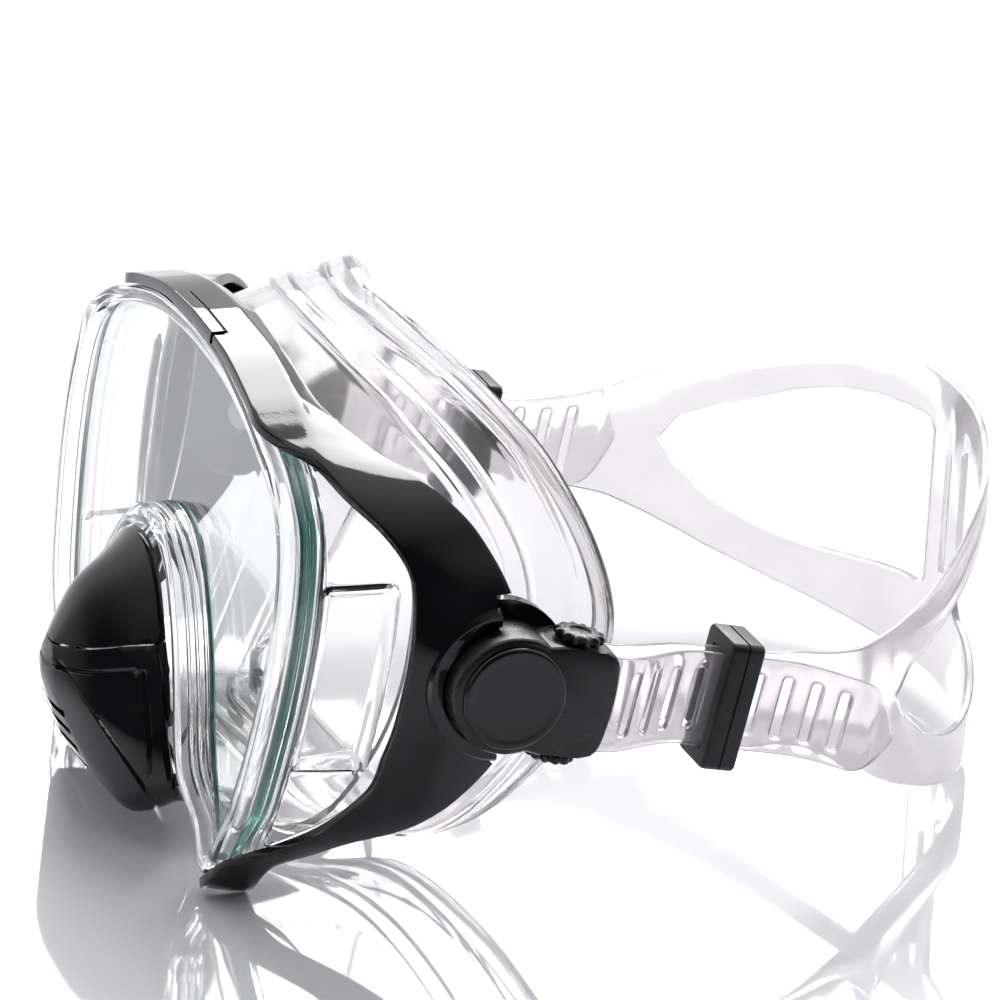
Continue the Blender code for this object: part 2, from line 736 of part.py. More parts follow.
def make_post(parent):
    bm = bmesh.new()
    length = HUB_IN + 5.4 - LUG_IN + 0.3
    disc(bm, POST_R, length, Matrix.Translation((LUG_IN - 0.3 + length / 2, PIVOT_Y, PIVOT_Z)) @ ALONG_X, 24)
    post = add_object("pivot_post_left", mesh_from(bm, "pivot_post_left"), STEEL, parent)
    head = tool_cylinder(
        "post_head", 4.2, 1.0, Matrix.Translation((LUG_IN - 0.8, PIVOT_Y, PIVOT_Z)) @ ALONG_X, 24
    )
    return combine(post, head, "UNION")


def roller_profile():
    """Half lengths and radii along the roller's axis."""
    inner = CHANNEL_HALF - 0.3
    outer = BLOCK_HALF - 0.5 + 0.3
    return ((inner, BARREL_R), (inner, JOURNAL_R), (outer, JOURNAL_R), (outer, KNOB_R), (outer + 2.0, KNOB_R))


def make_roller(parent):
    """A barrel with a toothed knob at each end."""
    half = roller_profile()
    stations = [(-a, r) for a, r in reversed(half)] + list(half)
    segments = 2 * KNOB_TEETH
    rings = []
    for along, radius in stations:
        ring = []
        for i in range(segments):
            angle = math.pi * i / KNOB_TEETH
            tooth = radius * (1.0 if i % 2 or radius != KNOB_R else 0.8)
            ring.append(
                in_buckle(ROLLER_X + tooth * math.cos(angle), ROLLER_L + tooth * math.sin(angle), along)
            )
        rings.append(ring)
    bm = loft(rings, cap=True)
    return add_object("strap_roller_left", mesh_from(bm, "strap_roller_left"), SATIN, parent)


def make_catch(parent):
    """The sprung tongue in the buckle's inner wall that holds the strap's ladder."""
    x = BLOCK_IN + 0.4
    bm = bmesh.new()
    place = LEAN @ Matrix.Translation((x, ROLLER_L + 2.8, 0))
    bmesh.ops.create_cube(bm, size=1.0, matrix=place @ Matrix.Diagonal((0.8, 8.8, 8.2, 1.0)))
    return add_object("release_catch_left", mesh_from(bm, "release_catch_left"), SATIN, parent)


# ---------------------------------------------------------------- strap
LADDER_PITCH = 6.4
SLOT_WIDTH = 2.4
SLOT_HALF = 6.4
# Edges of the strap behind the keepers, against the distance back from the mask:
# y, bottom edge, lower and upper edge of the opening, top edge.
LOOP_EDGES = (
    (98.0, 25.8, 33.6, 36.6, 45.2), (108.0, 24.6, 33.4, 36.4, 44.8), (119.0, 20.6, 32.0, 35.6, 45.4),
    (128.5, 15.4, 31.5, 35.2, 48.3), (133.0, 13.0, 28.0, 38.4, 50.0), (140.0, 9.6, 21.5, 42.2, 52.8),
    (149.0, 6.2, 17.2, 47.4, 57.6), (157.0, 4.2, 16.2, 52.4, 62.0), (163.0, 3.0, 17.4, 55.6, 65.4),
    (167.0, 2.6, 19.4, 57.2, 67.6), (168.6, 2.6, 20.4, 57.8, 68.6),
)
OPENING_START_Y = 130.0
BAR_HALF_X = 7.5
SLIT_HALF_X = 0.9


def straight_column(along, x):
    """Four points across the strap in the buckle's leaning frame."""
    return [in_buckle(x, along, across) for across in (-STRAP_HALF, -SLOT_HALF, SLOT_HALF, STRAP_HALF)]


def layer_x(along, side):
    """Where the outer (+1) or inner (-1) layer lies between the roller and the keeper."""
    near = ROLLER_X + side * LAYER_OFF
    far = KEEPER_X + side * KEEPER_LAYER
    return near + (far - near) * ease(along, 20.0, KEEPER_L - 7.0)


def tail_columns():
    """The outer layer, from its rounded tip forward to the roller, and whether each span has a slot."""
    columns = []
    tip = TAIL_END_L
    for back, width in ((0.0, 0.3), (0.8, 0.62), (2.6, 0.86), (5.2, 0.97), (8.0, 1.0)):
        x = layer_x(tip - back, 1)
        columns.append([
            in_buckle(x, tip - back, across * width) for across in (-STRAP_HALF, -SLOT_HALF, SLOT_HALF, STRAP_HALF)
        ])
    slots = [False] * 5
    along = tip - 13.0
    while along > ROLLER_L + 8.0:
        columns.append(straight_column(along, layer_x(along, 1)))
        columns.append(straight_column(along - SLOT_WIDTH, layer_x(along - SLOT_WIDTH, 1)))
        slots += [True, False]
        along -= LADDER_PITCH
    return columns, slots


def roller_columns():
    """The turn round the front of the roller, from the outer to the inner layer."""
    columns = []
    for i in range(9):
        angle = math.pi * i / 8
        x = ROLLER_X + LAYER_OFF * math.cos(angle)
        columns.append(straight_column(ROLLER_L - LAYER_OFF * math.sin(angle), x))
    return columns, [False] * 9


def inner_columns():
    """The inner layer, from the roller back to the start of the loop."""
    columns, slots = [], []
    along = ROLLER_L + 8.0
    while along < LOOP_START_L - 8.0:
        columns.append(straight_column(along, layer_x(along, -1)))
        columns.append(straight_column(along + SLOT_WIDTH, layer_x(along + SLOT_WIDTH, -1)))
        slots += [True, False]
        along += LADDER_PITCH
    columns.append(straight_column(LOOP_START_L - 1.0, layer_x(LOOP_START_L, -1)))
    slots.append(False)
    return columns, slots


def loop_edges(y):
    rows = LOOP_EDGES
    y = min(max(y, rows[0][0]), rows[-1][0])
    i = 0
    while i < len(rows) - 2 and rows[i + 1][0] < y:
        i += 1
    t = (y - rows[i][0]) / (rows[i + 1][0] - rows[i][0])
    return [a + (b - a) * t for a, b in zip(rows[i][1:], rows[i + 1][1:])]


def loop_columns():
    """The loop behind the head, from the left keeper's side to just short of the middle."""
    start = in_buckle(0, LOOP_START_L, 0)
    half_x = KEEPER_X - KEEPER_LAYER
    reach = STRAP_REAR_Y - STRAP_THICK / 2 - start.y
    columns, slots = [], []
    angles = [math.radians(a) for a in (6, 12, 18, 24, 28, 33, 39, 45, 51, 57, 63, 69, 75, 80)]
    angles += [math.acos(BAR_HALF_X / half_x), math.acos(4.0 / half_x), math.acos(SLIT_HALF_X / half_x)]
    for angle in angles:
        x, y = half_x * math.cos(angle), start.y + reach * math.sin(angle)
        twist = -LOOP_TWIST * x * ease(y, 100.0, 132.0)
        columns.append([Vector((x, y, z + twist)) for z in loop_edges(y)])
        slots.append(y > OPENING_START_Y and x > BAR_HALF_X + 0.1)
    slots[-1] = True
    return columns, slots


def mirror_column(column, twist_only):
    found = []
    for p in column:
        lift = 2 * LOOP_TWIST * abs(p.x) * ease(p.y, 100.0, 132.0) if twist_only else 0.0
        found.append(Vector((-p.x, p.y, p.z + lift)))
    return found


def slit_row(column, low, high):
    """The same column with its opening rows moved to the ends of the slit."""
    return [column[0], Vector((*column[1][:2], low)), Vector((*column[2][:2], high)), column[3]]


def make_strap(parent):
    columns, slots = [], []
    for part in (tail_columns(), roller_columns(), inner_columns(), loop_columns()):
        columns += part[0]
        slots += part[1]
    columns[-1] = slit_row(columns[-1], 27.0, 54.0)
    columns[-2] = slit_row(columns[-2], 27.0, 54.0)
    loop_count = len(loop_columns()[0])
    other = [mirror_column(c, len(columns) - i <= loop_count) for i, c in enumerate(columns)]
    all_columns = columns + other[::-1]
    all_slots = slots[:-1] + [True] + slots[:-1][::-1]
    bm = bmesh.new()
    rows = [[bm.verts.new(p) for p in column] for column in all_columns]
    for (a, b), slot in zip(zip(rows, rows[1:]), all_slots):
        for k in (0, 1, 2):
            if k == 1 and slot:
                continue
            bm.faces.new((a[k], b[k], b[k + 1], a[k + 1]))
    strap = add_object("strap", mesh_from(bm, "strap"), STRAP_SILICONE, parent)
    modifier = strap.modifiers.new("wall", "SOLIDIFY")
    modifier.thickness = STRAP_THICK * MM
    modifier.offset = 0.0
    return strap


def make_keeper(parent):
    """A rectangular loop that holds the strap's two layers together."""
    bm = bmesh.new()
    place = LEAN @ Matrix.Translation((KEEPER_X, KEEPER_L, 0))
    bmesh.ops.create_cube(bm, size=1.0, matrix=place @ Matrix.Diagonal((13.0, 7.0, 26.6, 1.0)))
    keeper = add_object("strap_keeper_left", mesh_from(bm, "strap_keeper_left"), SATIN, parent)
    hole = tool_box("keeper_slot", (2 * KEEPER_LAYER + STRAP_THICK + 1.0, 20.0, 2 * STRAP_HALF + 0.9), place)
    combine(keeper, hole, "DIFFERENCE")
    modifier = keeper.modifiers.new("edges", "BEVEL")
    modifier.width = 0.9 * MM
    modifier.segments = 1
    modifier.limit_method = "ANGLE"
    return keeper


# ---------------------------------------------------------------- assembly
def build():
    rig = bpy.data.objects.new("mask_origin", None)
    PARTS.objects.link(rig)
    rig["place"] = (0.0, 0.0, 0.0)
    rig.location = (0.0, -MID_Y * MM, FLOOR_LIFT * MM)
    swing = empty("swing_axis", 0, PIVOT_Y, PIVOT_Z, rig)
    flap_axis = empty("flap_axis", *VALVE_CENTRE, rig)
    make_bezel(rig)
    make_front_lens(rig)
    mirrored(make_side_window(rig), "side_window_right", rig)
    make_frame(rig)
    make_clip(rig)
    make_skirt(rig)
    make_nose_half("nose_cover", rig, above=True)
    cut_slots(make_nose_half("purge_housing", rig, above=False))
    make_valve(rig, flap_axis)
    mirrored(make_post(rig), "pivot_post_right", rig)
    mirrored(make_buckle_body(swing), "buckle_body_right", swing)
    mirrored(make_cap(swing), "buckle_cap_right", swing)
    make_strap(swing)
    for maker, piece, x, along in (
        (make_roller, "strap_roller", ROLLER_X, ROLLER_L),
        (make_catch, "release_catch", BLOCK_IN + 0.45, ROLLER_L - 1.4),
        (make_keeper, "strap_keeper", KEEPER_X, KEEPER_L),
    ):
        place = in_buckle(x, along, 0)
        left = empty(piece + "_axis_left", place.x, place.y, place.z, swing)
        right = empty(piece + "_axis_right", -place.x, place.y, place.z, swing)
        mirrored(maker(left), piece + "_right", right)


build()
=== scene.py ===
"""Diving mask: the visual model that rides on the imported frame, its materials, lights and camera.

Shapes are worked out in the mask's own millimetres, with depth measured back from the lens plane,
and become metres when a mesh is made.
"""

import json
import math

import bmesh
import bpy
from mathutils import Matrix, Vector


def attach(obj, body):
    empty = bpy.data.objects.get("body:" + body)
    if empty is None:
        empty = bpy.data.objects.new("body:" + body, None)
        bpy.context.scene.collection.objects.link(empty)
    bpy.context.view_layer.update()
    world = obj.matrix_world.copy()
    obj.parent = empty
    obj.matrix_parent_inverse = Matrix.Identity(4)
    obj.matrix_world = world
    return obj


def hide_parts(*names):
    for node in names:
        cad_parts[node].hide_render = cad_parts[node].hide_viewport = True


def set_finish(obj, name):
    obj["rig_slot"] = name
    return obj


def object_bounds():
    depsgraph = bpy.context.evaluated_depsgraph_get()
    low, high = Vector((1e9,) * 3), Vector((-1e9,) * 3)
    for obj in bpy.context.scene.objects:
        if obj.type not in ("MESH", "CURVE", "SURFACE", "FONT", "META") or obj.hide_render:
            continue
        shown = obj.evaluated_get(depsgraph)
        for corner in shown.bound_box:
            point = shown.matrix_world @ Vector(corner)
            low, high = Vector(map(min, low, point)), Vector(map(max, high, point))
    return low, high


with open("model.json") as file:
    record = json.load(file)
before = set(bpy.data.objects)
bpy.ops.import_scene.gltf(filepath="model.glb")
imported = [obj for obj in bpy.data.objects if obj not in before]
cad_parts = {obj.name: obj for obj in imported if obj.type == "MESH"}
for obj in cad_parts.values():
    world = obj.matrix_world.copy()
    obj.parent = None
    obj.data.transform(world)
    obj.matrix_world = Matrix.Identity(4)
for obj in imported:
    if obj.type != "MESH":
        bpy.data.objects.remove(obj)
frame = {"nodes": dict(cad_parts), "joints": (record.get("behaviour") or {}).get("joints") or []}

CAD_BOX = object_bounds()
MM = 0.001
JOINTS = {joint["name"]: joint for joint in frame["joints"]}

# The buckles' pivot in the mask's own millimetres, and where the record puts it.
PIVOT_Y = 39.8
PIVOT_Z = 48.2
STRAP_FALL = math.radians(12.2)
ORIGIN = Vector(JOINTS["strap_swing"]["pos_m"]) - Vector((0.0, PIVOT_Y, PIVOT_Z)) * MM

# Lens plane, rim and glass
LENS_TOP_Z = 90.0
LENS_TOP_Y = 2.3
LENS_LEAN = 0.125
RIM_FRONT = -1.0
NOSE_WALL_FRONT = -3.7
RIM_SWELL = 1.3
RIM_REAR = 7.2
NOSE_WALL_REAR = 4.6
RIM_WALL = 2.0
RIM_LIP = 3.4
LIP_BACK = 2.6
GLASS_EDGE = 2.3
GLASS_FRONT = 2.9
GLASS_THICK = 4.0
WINDOW_THICK = 1.8
WINDOW_FRONT = 7.6
WINDOW_START_DEPTH = 5.5
WINDOW_LAP = 1.5
WINDOW_STEPS = 64
POCKET_DEPTH = 2.3
POCKET_DRAFT = 1.9
POCKET_MIDDLE_Z = 47.5
POCKET_HALF = 17.0
POCKET_FRONT = 8.0
POCKET_REAR = 19.5
FRAME_GAP = 0.4
FRAME_THICK = 2.2
FRAME_DROOP = 1.8
CORNER_DROOP = 1.0
ARM_BULGE = 6.0
FRAME_STATIONS = 130
FRAME_EDGE = 0.35
CLIP_HALF = 12.5
CLIP_DEPTH = 3.2
CLIP_FRONT = -1.5
CLIP_OUT = 3.0
SKIRT_THICK = 1.8

# Buckles, in a frame that leans with the strap
HUB_R = 12.0
CAP_R = 10.4
LUG_R = 15.4
LUG_IN = 73.4
LUG_OUT = 76.9
COLLAR_OUT = 83.8
CLEAR_HALF = 17.5
CLEAR_REACH = 40.0
CLEAR_AHEAD = 1.0
CLEARANCE = 0.3
HUB_IN = 77.3
HUB_OUT = 89.0
BLOCK_IN = 77.6
BLOCK_END = 20.5
BLOCK_HALF = 11.4
CHANNEL_HALF = 10.2
CHANNEL_LONG = 53.0
ROLLER_L = 12.6
ROLLER_X = 83.3
BARREL_R = 2.6
JOURNAL_R = 1.8
KNOB_R = 5.0
KNOB_TEETH = 12
KNOB_STEPS = KNOB_TEETH * 8
CHANNEL_R = 4.8
POST_R = 2.4

# Strap
STRAP_THICK = 1.6
STRAP_HALF = 9.8
LAYER_OFF = BARREL_R + 0.3 + STRAP_THICK / 2
KEEPER_L = 49.8
KEEPER_X = 75.4
KEEPER_LAYER = 1.9
TAIL_END_L = 86.5
LOOP_START_L = 59.0
LOOP_TWIST = 0.057
STRAP_REAR_Y = 170.5


# ---------------------------------------------------------------- materials
def shader_of(name):
    made = bpy.data.materials.new(name)
    made.use_nodes = True
    return made, made.node_tree, made.node_tree.nodes["Principled BSDF"]


def noise(tree, scale, detail=3.0, stretch=(1.0, 1.0, 1.0)):
    """Noise over the object's own metres."""
    coords = tree.nodes.new("ShaderNodeTexCoord")
    mapping = tree.nodes.new("ShaderNodeMapping")
    mapping.inputs["Scale"].default_value = stretch
    made = tree.nodes.new("ShaderNodeTexNoise")
    made.inputs["Scale"].default_value = scale
    made.inputs["Detail"].default_value = detail
    tree.links.new(coords.outputs["Object"], mapping.inputs["Vector"])
    tree.links.new(mapping.outputs["Vector"], made.inputs["Vector"])
    return made.outputs["Fac"]


def vary(tree, source, target, low, high):
    """Drives a number by noise between two values."""
    span = tree.nodes.new("ShaderNodeMapRange")
    span.inputs["From Min"].default_value = 0.3
    span.inputs["From Max"].default_value = 0.7
    span.inputs["To Min"].default_value = low
    span.inputs["To Max"].default_value = high
    tree.links.new(source, span.inputs["Value"])
    tree.links.new(span.outputs["Result"], target)


def tint(tree, source, target, low, high):
    """Drives a colour by noise between two colours."""
    ramp = tree.nodes.new("ShaderNodeValToRGB")
    ramp.color_ramp.elements[0].position = 0.35
    ramp.color_ramp.elements[0].color = (*low, 1.0)
    ramp.color_ramp.elements[1].position = 0.65
    ramp.color_ramp.elements[1].color = (*high, 1.0)
    tree.links.new(source, ramp.inputs["Fac"])
    tree.links.new(ramp.outputs["Color"], target)


def bump(tree, shader, source, strength, distance):
    made = tree.nodes.new("ShaderNodeBump")
    made.inputs["Strength"].default_value = strength
    made.inputs["Distance"].default_value = distance
    tree.links.new(source, made.inputs["Height"])
    tree.links.new(made.outputs["Normal"], shader.inputs["Normal"])


def black_plastic(name, rough, grain):
    """Moulded black plastic: cloudy gloss over a fine skin."""
    made, tree, shader = shader_of(name)
    cloud = noise(tree, 60.0)
    tint(tree, cloud, shader.inputs["Base Color"], (0.0035, 0.0035, 0.0042), (0.009, 0.009, 0.0105))
    vary(tree, noise(tree, 220.0, 4.0), shader.inputs["Roughness"], rough[0], rough[1])
    bump(tree, shader, noise(tree, grain, 2.0), 0.25, 0.00003)
    shader.inputs["IOR"].default_value = 1.5
    return made


def clear_material(name, low, high, rough, ior, wave, transmission=1.0, height=0.00012):
    """Clear plastic, glass or silicone, with the slight flow and haze of a moulding."""
    made, tree, shader = shader_of(name)
    tint(tree, noise(tree, 45.0), shader.inputs["Base Color"], low, high)
    vary(tree, noise(tree, 120.0, 4.0), shader.inputs["Roughness"], rough[0], rough[1])
    bump(tree, shader, noise(tree, wave, 1.0), 0.35, height)
    shader.inputs["IOR"].default_value = ior
    shader.inputs["Transmission Weight"].default_value = transmission
    return made


def steel_material(name):
    made, tree, shader = shader_of(name)
    shader.inputs["Metallic"].default_value = 1.0
    brushed = noise(tree, 900.0, 3.0, (1.0, 0.06, 0.06))
    tint(tree, brushed, shader.inputs["Base Color"], (0.5, 0.5, 0.52), (0.68, 0.68, 0.7))
    vary(tree, brushed, shader.inputs["Roughness"], 0.2, 0.38)
    return made


GLOSS = black_plastic("gloss_black_look", (0.05, 0.11), 900.0)
SATIN = black_plastic("satin_black_look", (0.24, 0.36), 2600.0)
KEEPER_LOOK = black_plastic("grained_black_look", (0.34, 0.46), 3600.0)
GLASS = clear_material(
    "front_glass_look", (0.955, 0.985, 0.975), (0.975, 0.99, 0.985), (0.0, 0.012), 1.5, 8.0
)
GLASS_RIM = clear_material(
    "glass_edge_look", (0.05, 0.34, 0.28), (0.40, 0.80, 0.70), (0.03, 0.10), 1.5, 90.0, 0.65, 0.0006
)
PLASTIC = clear_material(
    "clear_plastic_look", (0.965, 0.975, 0.98), (0.99, 0.99, 0.995), (0.0, 0.03), 1.46, 30.0
)
SKIRT_LOOK = clear_material(
    "clear_silicone_look", (0.93, 0.935, 0.965), (0.985, 0.965, 0.95), (0.03, 0.10), 1.36, 22.0, 0.92, 0.0005
)
STRAP_LOOK = clear_material(
    "strap_silicone_look", (0.93, 0.90, 0.915), (0.97, 0.955, 0.96), (0.06, 0.16), 1.34, 40.0, 0.84, 0.0002
)
VALVE_LOOK = clear_material(
    "valve_silicone_look", (0.82, 0.84, 0.86), (0.9, 0.9, 0.91), (0.22, 0.34), 1.41, 160.0, 0.6
)
STEEL = steel_material("steel_look")


# ---------------------------------------------------------------- geometry helpers
def piece(name, bm, looks, body, nodes, slot, sharp=35.0):
    """A mesh object in metres that stands for CAD nodes and rides on a body."""
    bmesh.ops.recalc_face_normals(bm, faces=bm.faces)
    obj = object_from(name, bm, sharp)
    for look in looks:
        obj.data.materials.append(look)
    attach(obj, body)
    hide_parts(*nodes)
    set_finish(obj, slot)
    return obj


def object_from(name, bm, sharp=35.0):
    bmesh.ops.transform(bm, matrix=Matrix.Translation(ORIGIN) @ Matrix.Scale(MM, 4), verts=bm.verts)
    mesh = bpy.data.meshes.new(name)
    bm.to_mesh(mesh)
    bm.free()
    mesh.shade_smooth()
    mesh.set_sharp_from_angle(angle=math.radians(sharp))
    obj = bpy.data.objects.new(name, mesh)
    bpy.context.scene.collection.objects.link(obj)
    return obj


def settle(obj, sharp=35.0):
    """Applies the object's modifiers, and removes the cutters they used."""
    tools = [m.object for m in obj.modifiers if m.type == "BOOLEAN"]
    bpy.context.view_layer.update()
    graph = bpy.context.evaluated_depsgraph_get()
    mesh = bpy.data.meshes.new_from_object(obj.evaluated_get(graph))
    looks = list(obj.data.materials)
    obj.modifiers.clear()
    obj.data = mesh
    mesh.materials.clear()
    for look in looks:
        mesh.materials.append(look)
    mesh.shade_smooth()
    mesh.set_sharp_from_angle(angle=math.radians(sharp))
    for tool in tools:
        bpy.data.objects.remove(tool, do_unlink=True)
    return obj


def combine(target, tool, operation="DIFFERENCE"):
    modifier = target.modifiers.new(tool.name, "BOOLEAN")
    modifier.operation = operation
    modifier.solver = "EXACT"
    modifier.object = tool
    tool.hide_render = True


def bevel(obj, width, segments=3, angle=40.0):
    modifier = obj.modifiers.new("edges", "BEVEL")
    modifier.width = width * MM
    modifier.segments = segments
    modifier.limit_method = "ANGLE"
    modifier.angle_limit = math.radians(angle)


def solidify(obj, thickness, offset):
    modifier = obj.modifiers.new("wall", "SOLIDIFY")
    modifier.thickness = thickness * MM
    modifier.offset = offset
    modifier.use_even_offset = False


def mirrored_piece(obj, name, body, node):
    """The same piece on the right-hand side."""
    mesh = obj.data.copy()
    mesh.name = name
    mesh.transform(Matrix.Scale(-1, 4, (1, 0, 0)))
    mesh.flip_normals()
    other = bpy.data.objects.new(name, mesh)
    bpy.context.scene.collection.objects.link(other)
    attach(other, body)
    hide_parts(node)
    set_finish(other, obj["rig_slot"])
    return other


def catmull(a, b, c, d, t):
    """The Catmull-Rom curve between b and c, at t from 0 to 1."""
    square = 2 * a - 5 * b + 4 * c - d
    cube = 3 * b - a - 3 * c + d
    return 0.5 * (2 * b + (c - a) * t + square * t * t + cube * t ** 3)


def spline(points, count, closed=False):
    """Evenly spaced points on a Catmull-Rom curve, measured along its first two coordinates."""
    n = len(points)
    dense = []
    for i in range(n if closed else n - 1):
        a, b, c, d = (
            points[(i + k) % n] if closed else points[min(max(i + k, 0), n - 1)] for k in (-1, 0, 1, 2)
        )
        for step in range(12):
            dense.append([catmull(p, q, r, s, step / 12) for p, q, r, s in zip(a, b, c, d)])
    dense.append(list(points[0] if closed else points[-1]))
    lengths = [0.0]
    for p, q in zip(dense, dense[1:]):
        lengths.append(lengths[-1] + math.dist(p[:2], q[:2]))
    steps = count if closed else count - 1
    return [at_length(dense, lengths, lengths[-1] * i / steps) for i in range(count)]


def segment_at(lengths, wanted):
    """The index of the segment that a length along the run falls in."""
    low, high = 0, len(lengths) - 2
    while low < high:
        middle = (low + high) // 2
        if lengths[middle + 1] < wanted:
            low = middle + 1
        else:
            high = middle
    return low


def at_length(points, lengths, wanted):
    low = segment_at(lengths, wanted)
    t = (wanted - lengths[low]) / max(lengths[low + 1] - lengths[low], 1e-9)
    return [p + (q - p) * t for p, q in zip(points[low], points[low + 1])]


def ease(value, low, high):
    t = min(max((value - low) / (high - low), 0.0), 1.0)
    return t * t * (3 - 2 * t)


def lens_y(z):
    """The lens plane's y at a height: it leans, with its lower edge further forward."""
    return LENS_TOP_Y - LENS_LEAN * (LENS_TOP_Z - z)


def on_lens(x, z, depth):
    """The point at a depth behind the lens plane."""
    return Vector((x, lens_y(z) + depth, z))


def loft(rings, wrap_rings=False, wrap_points=True, cap=False):
    bm = bmesh.new()
    rows = [[bm.verts.new(p) for p in ring] for ring in rings]
    pairs = list(zip(rows, rows[1:]))
    if wrap_rings:
        pairs.append((rows[-1], rows[0]))
    for low, high in pairs:
        for i in range(len(low) if wrap_points else len(low) - 1):
            j = (i + 1) % len(low)
            bm.faces.new((low[i], low[j], high[j], high[i]))
    if cap:
        bm.faces.new(rows[0])
        bm.faces.new(rows[-1])
    return bm


ALONG_X = Matrix.Rotation(math.pi / 2, 4, "Y")
LEAN = Matrix.Translation((0, PIVOT_Y, PIVOT_Z)) @ Matrix.Rotation(-STRAP_FALL, 4, "X")


def in_buckle(x, along, across):
    return LEAN @ Vector((x, along, across))


def tool_cylinder(name, radius, length, matrix, segments=96, chamfer=0.0):
    """A cutter or boss, with its ends chamfered where wanted."""
    rings = []
    half = length / 2
    ends = ((-half, radius), (half, radius))
    if chamfer:
        first = ((-half, radius - chamfer), (-half + chamfer, radius))
        ends = first + ((half - chamfer, radius), (half, radius - chamfer))
    for along, r in ends:
        turns = [2 * math.pi * i / segments for i in range(segments)]
        rings.append([matrix @ Vector((r * math.cos(a), r * math.sin(a), along)) for a in turns])
    bm = loft(rings, cap=True)
    bmesh.ops.recalc_face_normals(bm, faces=bm.faces)
    return object_from(name, bm)


def tool_box(name, size, matrix, rounding=0.0):
    """A box cutter whose edges along Y can be rounded."""
    bm = bmesh.new()
    bmesh.ops.create_cube(bm, size=1.0, matrix=Matrix.Diagonal((*size, 1.0)))
    if rounding:
        edges = [e for e in bm.edges if abs((e.verts[0].co - e.verts[1].co).y) > 1e-6]
        bmesh.ops.bevel(bm, geom=edges, offset=rounding, segments=5, affect="EDGES", profile=0.5)
    bmesh.ops.transform(bm, matrix=matrix, verts=bm.verts)
    bmesh.ops.recalc_face_normals(bm, faces=bm.faces)
    return object_from(name, bm)


# ---------------------------------------------------------------- rim, glass, frame, windows
# Half of the rim's outer outline seen from the front, from the top centre round to the nose.
RIM_HALF = (
    (0.0, 96.0), (20.0, 94.9), (36.0, 91.6), (47.6, 87.9), (56.0, 84.9), (63.2, 80.2), (68.2, 74.0),
    (70.9, 66.0), (71.8, 56.0), (70.9, 44.0), (68.4, 32.0), (65.0, 20.5), (60.9, 11.8), (55.6, 3.2),
    (51.8, 0.3), (47.6, 2.0), (43.9, 6.2), (39.9, 11.0), (35.9, 16.0), (31.9, 22.0), (28.2, 29.4),
    (21.8, 39.4), (14.4, 47.8), (7.4, 52.2), (0.0, 53.6),
)
RIM_POINTS = 260


def rim_outline():
    left = [(-x, z) for x, z in reversed(RIM_HALF[1:-1])]
    return spline(list(RIM_HALF) + left, RIM_POINTS, closed=True)


def inward_normals(outline):
    """Unit vectors towards the glass, one for each point of the closed outline."""
    n = len(outline)
    found = []
    for i in range(n):
        ax, az = outline[i - 1]
        bx, bz = outline[(i + 1) % n]
        length = math.hypot(bx - ax, bz - az)
        found.append(((bz - az) / length, -(bx - ax) / length))
    return found


def nose_share(x, z):
    """1 along the stretch of the rim that frames the nose piece, and 0 elsewhere."""
    return (1.0 - ease(abs(x), 36.0, 45.0)) * (1.0 - ease(z, 56.0, 62.0))


def rim_swell(z):
    """The rim stands out where no frame covers it, down the sides."""
    return RIM_SWELL * ease(z, 11.0, 20.0) * (1.0 - ease(z, 76.0, 83.0))


def rim_profile():
    """The rim's section: offset inwards, share of the depth from the front edge (0) to the rear (1)."""
    outer = [(0.0, 1.0)]
    for share in (0.82, 0.62, 0.42):
        outer += [(0.0, share + 0.045), (0.30, share + 0.02), (0.30, share - 0.02), (0.0, share - 0.045)]
    shoulder = [(0.0, 0.20), (0.12, 0.11), (0.45, 0.035), (1.0, 0.0)]
    return outer + shoulder + [(2.1, 0.0), (2.35, 0.03), (RIM_LIP, 0.03)]


def make_bezel():
    outline = rim_outline()
    normals = inward_normals(outline)
    fixed = ((RIM_LIP, LIP_BACK), (RIM_WALL, LIP_BACK), (RIM_WALL, RIM_REAR))
    rings = []
    for offset, share in rim_profile():
        ring = []
        for (x, z), (nx, nz) in zip(outline, normals):
            nose = nose_share(x, z)
            front = RIM_FRONT + (NOSE_WALL_FRONT - RIM_FRONT) * nose
            rear = RIM_REAR + (NOSE_WALL_REAR - RIM_REAR) * nose
            out = offset - rim_swell(z) * (1.0 - ease(offset, 1.0, 2.1))
            ring.append(on_lens(x + nx * out, z + nz * out, front + (rear - front) * share))
        rings.append(ring)
    for offset, depth in fixed:
        ring = []
        for (x, z), (nx, nz) in zip(outline, normals):
            place = depth
            if depth == RIM_REAR:
                place += (NOSE_WALL_REAR - RIM_REAR) * nose_share(x, z)
            ring.append(on_lens(x + nx * offset, z + nz * offset, place))
        rings.append(ring)
    bm = loft(rings, wrap_rings=True)
    bezel = piece("rim", bm, [PLASTIC], "mask", ["lens_bezel"], "clear_polycarbonate")
    bevel(bezel, 0.28, 3, 50.0)
    return settle(bezel, 50.0)


def make_glass():
    outline = rim_outline()
    normals = inward_normals(outline)
    back = GLASS_FRONT + GLASS_THICK
    rings = []
    for offset, depth in (
        (GLASS_EDGE + 0.5, GLASS_FRONT), (GLASS_EDGE, GLASS_FRONT + 0.5), (GLASS_EDGE, back - 0.5),
        (GLASS_EDGE + 0.5, back),
    ):
        rings.append([
            on_lens(x + nx * offset, z + nz * offset, depth) for (x, z), (nx, nz) in zip(outline, normals)
        ])
    bm = loft(rings, cap=True)
    for face in bm.faces:
        face.material_index = 0 if len(face.verts) > 4 else 1
    return piece("glass", bm, [GLASS, GLASS_RIM], "mask", ["front_lens"], "tempered_glass", 20.0)


